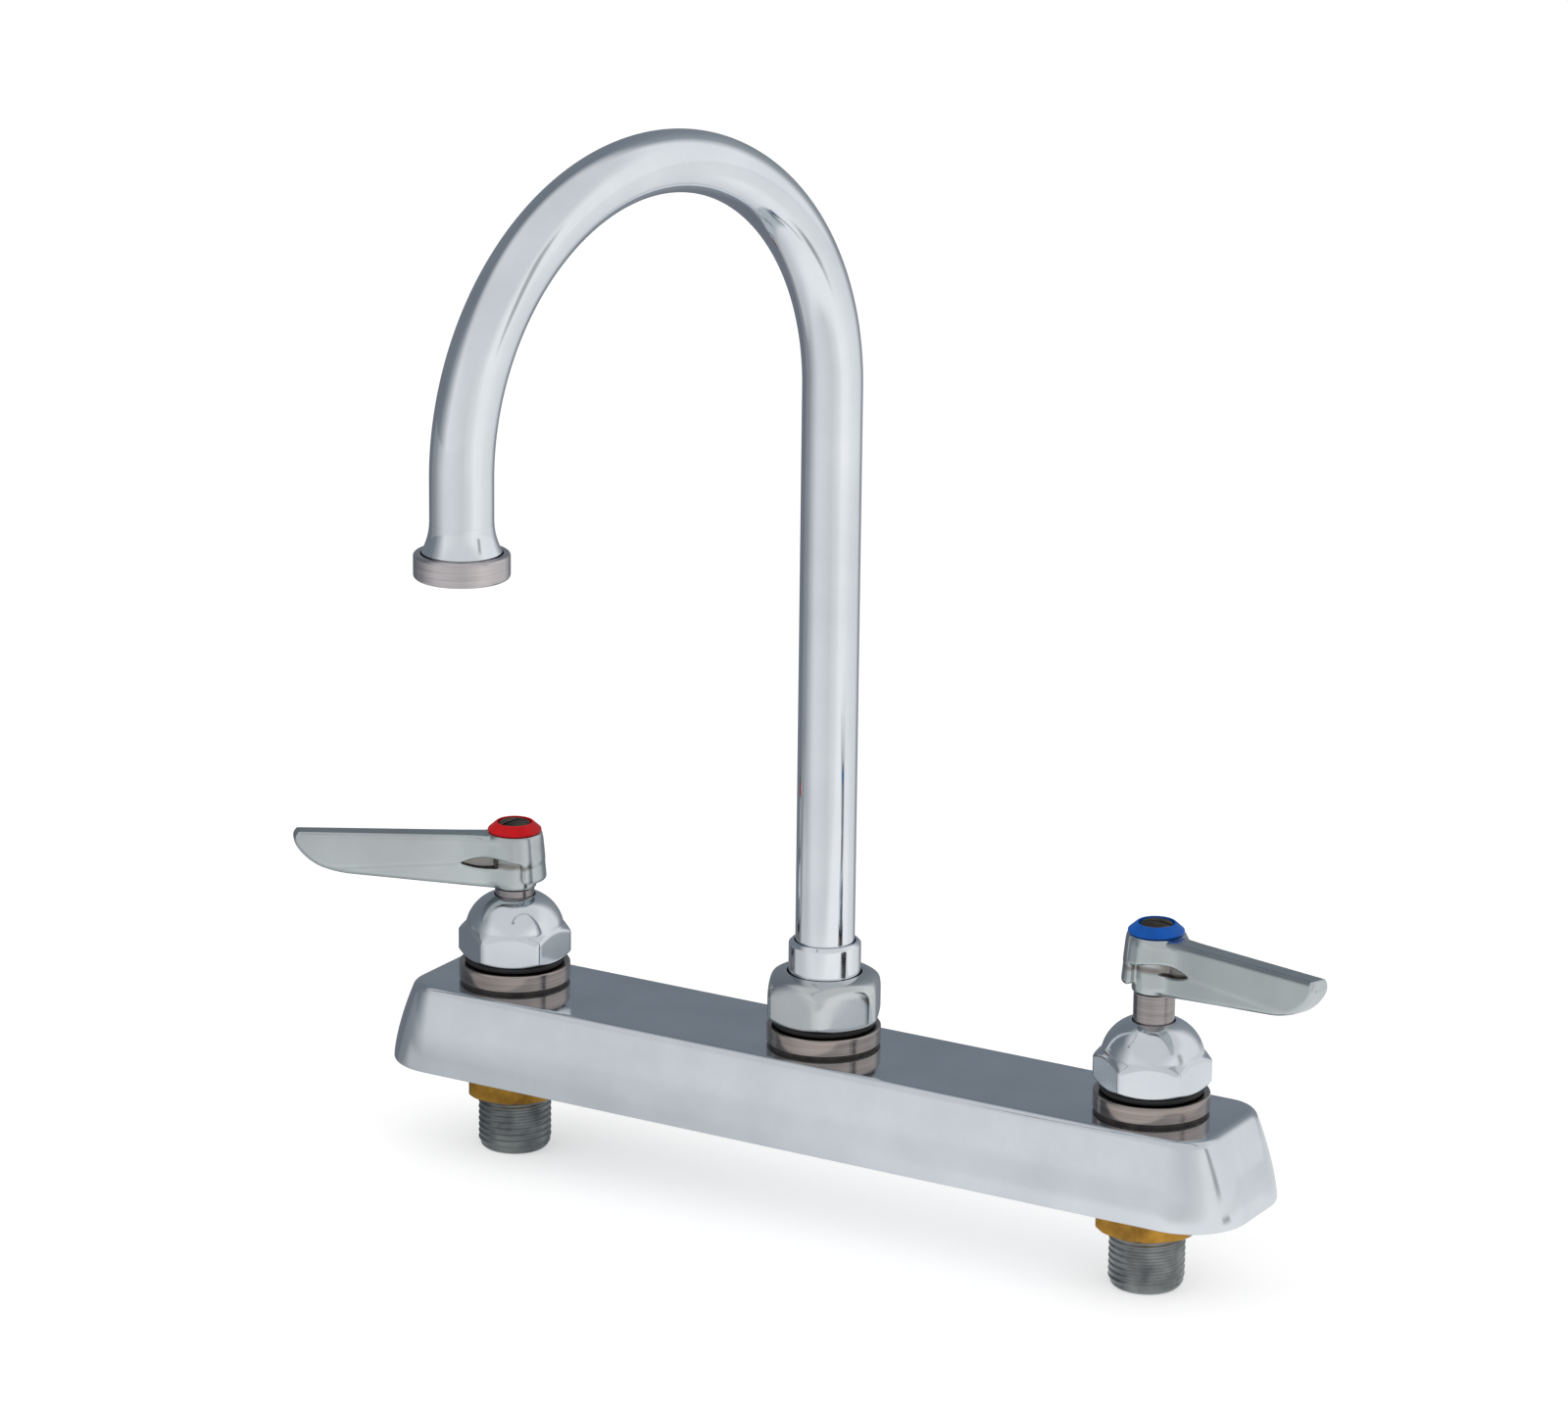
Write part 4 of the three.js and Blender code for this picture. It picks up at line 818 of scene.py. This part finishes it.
def lever_field(p):
    """The same with side pockets that stop at a solid core, the stem's socket and the screw's hole."""
    x, y, z = p.T
    r = np.hypot(x, y)
    lens = np.abs(z + 8.1) - 1.8 + 1.7 * ((x - 7.6) / 7.8) ** 2
    core = soft_min(r - 6.4, np.abs(y) - 1.6, 1.2)
    joined = soft_max(solid_lever_field(p), -soft_max(lens, -core, 0.8), 0.7)
    socket = soft_max(soft_max(r - 5.3, z + 6.2, 0.3), -17.5 - z, 0.3)
    hole = r - 2.3
    return soft_max(soft_max(joined, -socket, 0.3), -hole, 0.3)


def painted_shade_depth(p):
    """How deep a point lies in a pocket, or how near to the corner under the cap: the share of painted shade
    there.
    """
    corner = 1.6 - 0.95 * np.abs(p[:, 2] + 8.9) - 1.3 * ((p[:, 0] - 3.0) / 9.0) ** 2
    return np.clip(np.maximum(-solid_lever_field(p), corner), 0, None)


# %% [markdown]
# The grid is walked cell by cell. Wherever the field changes sign inside a cell, the cell gets one point,
# and wherever it changes sign along a grid edge, the four cells round that edge share a face.


# %% From a field to a mesh
def field_mesh(field, low, high, step):
    axes = [np.arange(a, b + step, step) for a, b in zip(low, high)]
    grid = np.stack(np.meshgrid(*axes, indexing="ij"), -1)
    shape = grid.shape[:3]
    flat = grid.reshape(-1, 3)
    value = np.concatenate([field(part) for part in np.array_split(flat, 24)]).reshape(shape)
    inside = value < 0
    corners = sum(inside[i : shape[0] - 1 + i, j : shape[1] - 1 + j, k : shape[2] - 1 + k].astype(int)
                  for i in (0, 1) for j in (0, 1) for k in (0, 1))
    cut = (corners > 0) & (corners < 8)
    number = np.full(cut.shape, -1)
    number[cut] = np.arange(cut.sum())
    points = np.stack([axes[a][np.nonzero(cut)[a]] + step / 2 for a in range(3)], -1)
    quads = []
    for axis in range(3):
        u, v = (axis + 1) % 3, (axis + 2) % 3
        ahead = np.roll(inside, -1, axis)
        crossing = inside != ahead
        crossing[tuple(-1 if a == axis else slice(None) for a in range(3))] = False
        at = np.stack(np.nonzero(crossing), -1)
        at = at[(at[:, u] > 0) & (at[:, v] > 0) & (at[:, u] < shape[u] - 1) & (at[:, v] < shape[v] - 1)]
        du, dv = np.eye(3, dtype=int)[u], np.eye(3, dtype=int)[v]
        around = [number[tuple((at - a * du - b * dv).T)] for a, b in ((1, 1), (0, 1), (0, 0), (1, 0))]
        quad = np.stack(around, -1)
        flip = ~inside[tuple(at.T)]
        quad[flip] = quad[flip][:, ::-1]
        quads.append(quad)
    quads = np.concatenate(quads)
    return settle(field, points, quads), quads


def settle(field, points, quads):
    """Moves each point onto the surface, and evens the points out along it."""
    pairs = np.concatenate([quads[:, [i, (i + 1) % 4]] for i in range(4)])
    for round_number in range(7):
        if 0 < round_number < 5:
            total, count = np.zeros_like(points), np.zeros(len(points))
            np.add.at(total, pairs[:, 0], points[pairs[:, 1]])
            np.add.at(count, pairs[:, 0], 1)
            points = 0.5 * points + 0.5 * total / count[:, None]
        shift = 0.01
        rises = [(field(points + shift * e) - field(points - shift * e)) / (2 * shift) for e in np.eye(3)]
        uphill = np.stack(rises, -1)
        size = np.maximum((uphill**2).sum(1), 0.05)
        points = points - (np.clip(field(points), -0.5, 0.5) / size)[:, None] * uphill
    return points


def bmesh_of(points, quads, azimuth, x, height, depth=None):
    c, s = math.cos(azimuth), math.sin(azimuth)
    turned = np.stack([c * points[:, 0] - s * points[:, 1] + x, s * points[:, 0] + c * points[:, 1],
                       points[:, 2] + height], -1)
    mesh = bpy.data.meshes.new("field")
    mesh.from_pydata((turned * MM).tolist(), [], quads.tolist())
    if depth is not None:
        mesh.attributes.new("recess_depth", "FLOAT", "POINT").data.foreach_set("value", depth)
    bm = bmesh.new()
    bm.from_mesh(mesh)
    bpy.data.meshes.remove(mesh)
    return bm


# %% Build both levers
LEVER_STEP = 0.36
lever_points, lever_quads = field_mesh(lever_field, (-10.5, -10, -17.3), (63.8, 10, 3.6), LEVER_STEP)
# Painted shade: this depth darkens the lever in its pockets and under its cap.
lever_depth = painted_shade_depth(lever_points)
VALVES = (("hot", -VALVE_X, 0.0, math.radians(-140)), ("cold", VALVE_X, COLD_LIFT, math.radians(-20)))
for side, x, lift, azimuth in VALVES:
    bm = bmesh_of(lever_points, lever_quads, azimuth, x, HUB_TOP + lift, lever_depth)
    lever = finish_mesh(bm, f"{side}_lever_handle", "chrome_on_die_cast_lever")
    dress(lever, f"{side}_handle_unit", "lever_chrome", f"{side}_lever")

# %% [markdown]
# ## Index rings and handle screws
#
# A red or blue ring tells hot from cold. The slotted screw in its middle holds the lever on the stem. Its
# slot is cut with the same kind of field as the lever.


# %% Fields of the ring and the screw, measured from the top of the hub
def index_ring_grid(x, height):
    loop = [[4.9, 0.15], [7.6, 0.15], [7.6, 0.7, 0.4], [5.3, 2.75, 0.5], [4.9, 2.75, 0.1]]
    return spun(softened(loop, 0.15), 96, at=(x, 0), lift=height)


def screw_field(p):
    x, y, z = p.T
    r = np.hypot(x, y)
    head = soft_max(soft_max(r - 4.6, z - 3.2 + 0.035 * r * r, 0.7), 0.15 - z, 0.2)
    shank = soft_max(soft_max(r - 2.0, z - 1.0, 0.1), -14.0 - z, 0.4)
    slot = soft_max(np.abs(y) - 0.6, 1.7 - z, 0.15)
    return soft_max(np.minimum(head, shank), -slot, 0.15)


# %% Build rings and screws
screw_points, screw_quads = field_mesh(screw_field, (-5.2, -5.2, -14.6), (5.2, 5.2, 3.9), 0.24)
for side, x, lift, azimuth in VALVES:
    finish_name = "red_moulded_abs" if side == "hot" else "blue_moulded_abs"
    slot_name = "red_plastic" if side == "hot" else "blue_plastic"
    index = finish_mesh(skin(index_ring_grid(x, HUB_TOP + lift)), f"{side}_index_collar", finish_name)
    dress(index, f"{side}_handle_unit", slot_name, f"{side}_index_ring")
    screw = finish_mesh(bmesh_of(screw_points, screw_quads, azimuth + 0.5, x, HUB_TOP + lift),
                        f"{side}_slotted_screw", "oxidised_steel_screw")
    dress(screw, f"{side}_handle_unit", "dark_screw", f"{side}_handle_screw")

# %% [markdown]
# ## Inlet pipes and mounting nuts
#
# The pipes that take the supply lines go through the deck. Their thread is the half-inch pipe thread with
# 14 turns to the inch. A thread is a turned surface whose radius also depends on how far round one has
# gone, so one wave in the formula for the radius cuts it. It is drawn less deep than a real one, because
# only faint lines are seen on these pipes.


# %% Build the threaded pipes
def threaded_pipe(x):
    pitch, depth, segments, outside, end = 25.4 / 14, 0.42, 96, 10.4, -25.9
    crest = [(outside, z) for z in np.arange(end + 0.6, 5.9, pitch / 9)]
    profile = np.array([(7.0, 6.0), (7.0, end), (8.9, end), *crest, (outside, 6.0)])
    grid = spun(profile, segments, at=(x, 0))
    turns = np.linspace(0, 2 * math.pi, segments, endpoint=False)
    height = profile[:, 1:2]
    phase = height / pitch - turns[None, :] / (2 * math.pi)
    wave = np.abs(2 * (phase - np.floor(phase)) - 1)
    groove = depth * np.clip(1.35 * wave - 0.1, 0, 1)
    run_out = np.clip((height - end) / 2.2, 0, 1)
    thread = outside - groove - (1 - run_out) * np.clip(1.0 - groove, 0, None)
    radius = np.where(profile[:, :1] > 10, thread, profile[:, :1])
    grid[..., 0] = x + radius * np.cos(turns)
    grid[..., 1] = radius * np.sin(turns)
    return grid


for side, x in (("hot", -VALVE_X), ("cold", VALVE_X)):
    pipe = finish_mesh(skin(threaded_pipe(x)), f"{side}_threaded_inlet", "oiled_steel_pipe")
    dress(pipe, "base", "dark_steel", f"{side}_inlet_shank")

# %% Build the brass nuts
nut_loop = [[10.75, -9.4, 0.5], [13.75, -9.4, 0.2], [15.2, -8.0, 0.3], [15.2, -1.0, 0.3], [13.75, -0.3, 0.2],
            [10.75, -0.3, 0.3]]
for side, x, azimuth in (("hot", -VALVE_X, 33), ("cold", VALVE_X, 17)):
    grid = hex_spun(softened(nut_loop, 0.3), MOUNTING_HEX, azimuth, at=(x, 0), edge=0.5)
    nut = finish_mesh(skin(grid), f"{side}_brass_mounting_nut", "machined_brass")
    dress(nut, "base", "brass", f"{side}_mounting_nut")

# %% [markdown]
# ## Pieces that stay as packed
#
# Seats, washers, washer screws, seals and the swivel post are inside the faucet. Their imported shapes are
# fine as they are and only need their own finishes.

# %% Finishes of the hidden pieces
BRASS_INSIDE = ("seat", "washer_screw", "swivel_post")
for name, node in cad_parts.items():
    if node.hide_render:
        continue
    finish_name = "machined_brass" if name.endswith(BRASS_INSIDE) else "nitrile_rubber"
    node.data.materials.clear()
    node.data.materials.append(bpy.data.materials[finish_name])
    print(name, "->", finish_name)

# %% [markdown]
# ## Studio
#
# Chrome shows the room more than itself, so the room is part of the material. The floor is pale, and the
# light is soft and comes from all round. To the camera floor and room are white. Reflections see them with
# painted tones that depend on the compass direction, as in a product studio: a painted reflection of dark
# cloth behind the faucet, which turns the top faces dark and draws the dark left edges, of a bright wall
# to the right, and of a narrow dark screen between them that draws a thin line down the lower tube. No
# cloth, wall or screen stands in the scene: floor and world glow with these tones for reflections only.


# %% Painted reflection tones of the room by compass direction, from west over south, east and north to west
PAINTED_FLOOR_REFLECTION_TONES = [(0.0, "#868A8F"), (0.067, "#989CA1"), (0.10, "#B5B8BC"), (0.125, "#C4C7CA"), (0.15, "#D6D8DA"),
               (0.178, "#E2E4E6"), (0.225, "#E4E5E7"), (0.333, "#DADBDC"), (0.40, "#EBEBEB"), (0.444, "#FDFDFD"),
               (0.5, "#FAFAFA"), (0.556, "#F0F0F0"), (0.603, "#EAEBEC"), (0.678, "#E2E4E6"), (0.735, "#999DA2"),
               (0.792, "#878C93"), (0.847, "#757A82")]
PAINTED_ROOM_REFLECTION_TONES = [(0.0, "#757B84"), (0.067, "#7F858C"), (0.115, "#ACB0B4"), (0.156, "#DADCDE"),
              (0.178, "#EDEEF0"), (0.25, "#E6E7E8"), (0.333, "#DEDFE0"), (0.40, "#EBEBEB"),
              (0.444, "#FAFAFA"), (0.5, "#FAFAFA"), (0.603, "#F2F3F4"), (0.678, "#F0F1F4"),
              (0.73, "#9DA2A8"), (0.792, "#878E96"), (0.847, "#7B828B"), (0.95, "#777E86")]
PAINTED_NEAR_REFLECTION_TONES = [(0.0, "#C8CBCD"), (0.3, "#D6D8DA"), (0.55, "#E8E9EB"), (0.75, "#F2F3F4"), (1.0, "#FAFAFB")]
# The painted cloths in the reflections are turned by 30 degrees against the faucet.
TURN_COS, TURN_SIN = 0.8625, 0.506  # the studio's cloths are turned by 30 degrees against the faucet


def compass(tree, x, y):
    """Azimuth of a direction, 0 to 1 for -180 to 180 degrees."""
    return calc(tree, "ADD", calc(tree, "DIVIDE", calc(tree, "ARCTAN2", y, x), 2 * math.pi), 0.5)


def product(tree, *values):
    result = values[0]
    for value in values[1:]:
        result = calc(tree, "MULTIPLY", result, value)
    return result


# %% Floor
FLOOR_Z = -0.0259  # the ends of the inlet pipes stand on it
floor_bm = bmesh.new()
bmesh.ops.create_circle(floor_bm, cap_ends=True, radius=6.0, segments=96)
bmesh.ops.translate(floor_bm, verts=floor_bm.verts, vec=(0, 0, FLOOR_Z))
floor_mesh = bpy.data.meshes.new("studio_floor")
floor_bm.to_mesh(floor_mesh)
floor_bm.free()
floor = bpy.data.objects.new("studio_floor", floor_mesh)
bpy.context.scene.collection.objects.link(floor)
tree, place = new_material("matt_white_paper_floor")
seen = add_node(tree, "ShaderNodeLightPath")
direct = calc(tree, "MAXIMUM", seen.outputs["Is Camera Ray"], seen.outputs["Is Transmission Ray"])
paper = add_node(tree, "ShaderNodeBsdfDiffuse", Color=linear("#F2F2F2"))
glow = add_node(tree, "ShaderNodeEmission", Color=(1, 1, 1, 1), Strength=product(tree, direct, 0.45))
both = add_node(tree, "ShaderNodeAddShader", _0=paper.outputs[0], _1=glow.outputs[0])
x, y = add_node(tree, "ShaderNodeSeparateXYZ", Vector=place).outputs[:2]
distance = add_node(tree, "ShaderNodeVectorMath", {"operation": "LENGTH"}, _0=place).outputs["Value"]
far_tone = ramp(tree, compass(tree, x, y), PAINTED_FLOOR_REFLECTION_TONES)
across = calc(tree, "SUBTRACT", product(tree, x, TURN_COS), product(tree, y, TURN_SIN))
near_tone = ramp(tree, slope(tree, across, -0.12, 0.2), PAINTED_NEAR_REFLECTION_TONES)
behind = calc(tree, "SUBTRACT", y, product(tree, x, 0.5))
near = product(tree, slope(tree, distance, 0.3, 0.5, 1.0, 0.0), slope(tree, y, -0.27, -0.17),
               slope(tree, behind, 0.02, 0.09, 1.0, 0.0))
sideways = calc(tree, "ABSOLUTE", calc(tree, "SUBTRACT", calc(tree, "DIVIDE", y, x), 0.07))
painted_screen = product(tree, slope(tree, sideways, 0.05, 0.16, 0.55, 0.0), slope(tree, x, 0.245, 0.37),
                 slope(tree, x, 0.38, 0.6, 1.0, 0.0))
lit = slope(tree, painted_screen, 0.0, 1.0, 1.0, 0.0)
# Painted reflection: reflections see the floor glow with these tones, not the lit paper.
painted_reflection = add_node(tree, "ShaderNodeEmission", Color=mixed(tree, near, far_tone, near_tone), Strength=lit)
surface = add_node(tree, "ShaderNodeMixShader", _0=seen.outputs["Is Glossy Ray"], _1=both.outputs[0],
                   _2=painted_reflection.outputs[0])
add_node(tree, "ShaderNodeOutputMaterial", Surface=surface.outputs[0])
floor_mesh.materials.append(bpy.data.materials["matt_white_paper_floor"])

# %% World
world = bpy.data.worlds.new("studio_room")
world.use_nodes = True
bpy.context.scene.world = world
tree = world.node_tree
tree.nodes.clear()
seen = add_node(tree, "ShaderNodeLightPath")
direct = calc(tree, "MAXIMUM", seen.outputs["Is Camera Ray"], seen.outputs["Is Transmission Ray"])
plain = add_node(tree, "ShaderNodeBackground", Color=(1, 1, 1, 1), Strength=calc(tree, "MAXIMUM", direct, 0.62))
toward = add_node(tree, "ShaderNodeTexCoord").outputs["Generated"]
x, y, z = add_node(tree, "ShaderNodeSeparateXYZ", Vector=toward).outputs
turn = compass(tree, x, y)
backwards = calc(tree, "SUBTRACT", product(tree, y, TURN_COS), product(tree, x, TURN_SIN))
rise = calc(tree, "SUBTRACT", z, product(tree, backwards, 0.45))
tone = mixed(tree, slope(tree, rise, 0.5, 0.85), ramp(tree, turn, PAINTED_ROOM_REFLECTION_TONES), linear("#DEDFE1"))
sideways = calc(tree, "ABSOLUTE", calc(tree, "SUBTRACT", turn, 0.506))
painted_screen = product(tree, slope(tree, sideways, 0.006, 0.026, 0.5, 0.0), slope(tree, z, 0.0, 0.1),
                 slope(tree, z, 0.35, 0.5, 1.0, 0.0))
lit = slope(tree, painted_screen, 0.0, 1.0, 1.0, 0.0)
# Painted reflection: reflections see the room glow with these tones instead of plain white.
painted_reflection = add_node(tree, "ShaderNodeBackground", Color=tone, Strength=lit)
sky = add_node(tree, "ShaderNodeMixShader", _0=seen.outputs["Is Glossy Ray"], _1=plain.outputs[0],
               _2=painted_reflection.outputs[0])
add_node(tree, "ShaderNodeOutputWorld", Surface=sky.outputs[0])


# %% Soft lamps
def soft_lamp(name, place, target, size, power):
    data = bpy.data.lights.new(name, "AREA")
    data.shape = "RECTANGLE"
    data.size, data.size_y = size
    data.energy = power
    lamp = bpy.data.objects.new(name, data)
    lamp.location = place
    lamp.rotation_euler = (Vector(target) - Vector(place)).to_track_quat("-Z", "Y").to_euler()
    bpy.context.scene.collection.objects.link(lamp)
    lamp.visible_glossy = False


soft_lamp("soft_box_left", (-1.6, -1.4, 1.5), (0, 0, 0.1), (1.4, 1.4), 9)
soft_lamp("soft_box_right", (1.7, -0.6, 1.4), (0, 0, 0.1), (1.2, 1.2), 5)
bpy.context.scene.view_settings.view_transform = "Standard"

# %% [markdown]
# ## Count of faces
#
# The faces of all dressed pieces are counted and printed.

# %% Faces in all
print("faces in all:", sum(len(p.data.polygons) for p in PIECES))
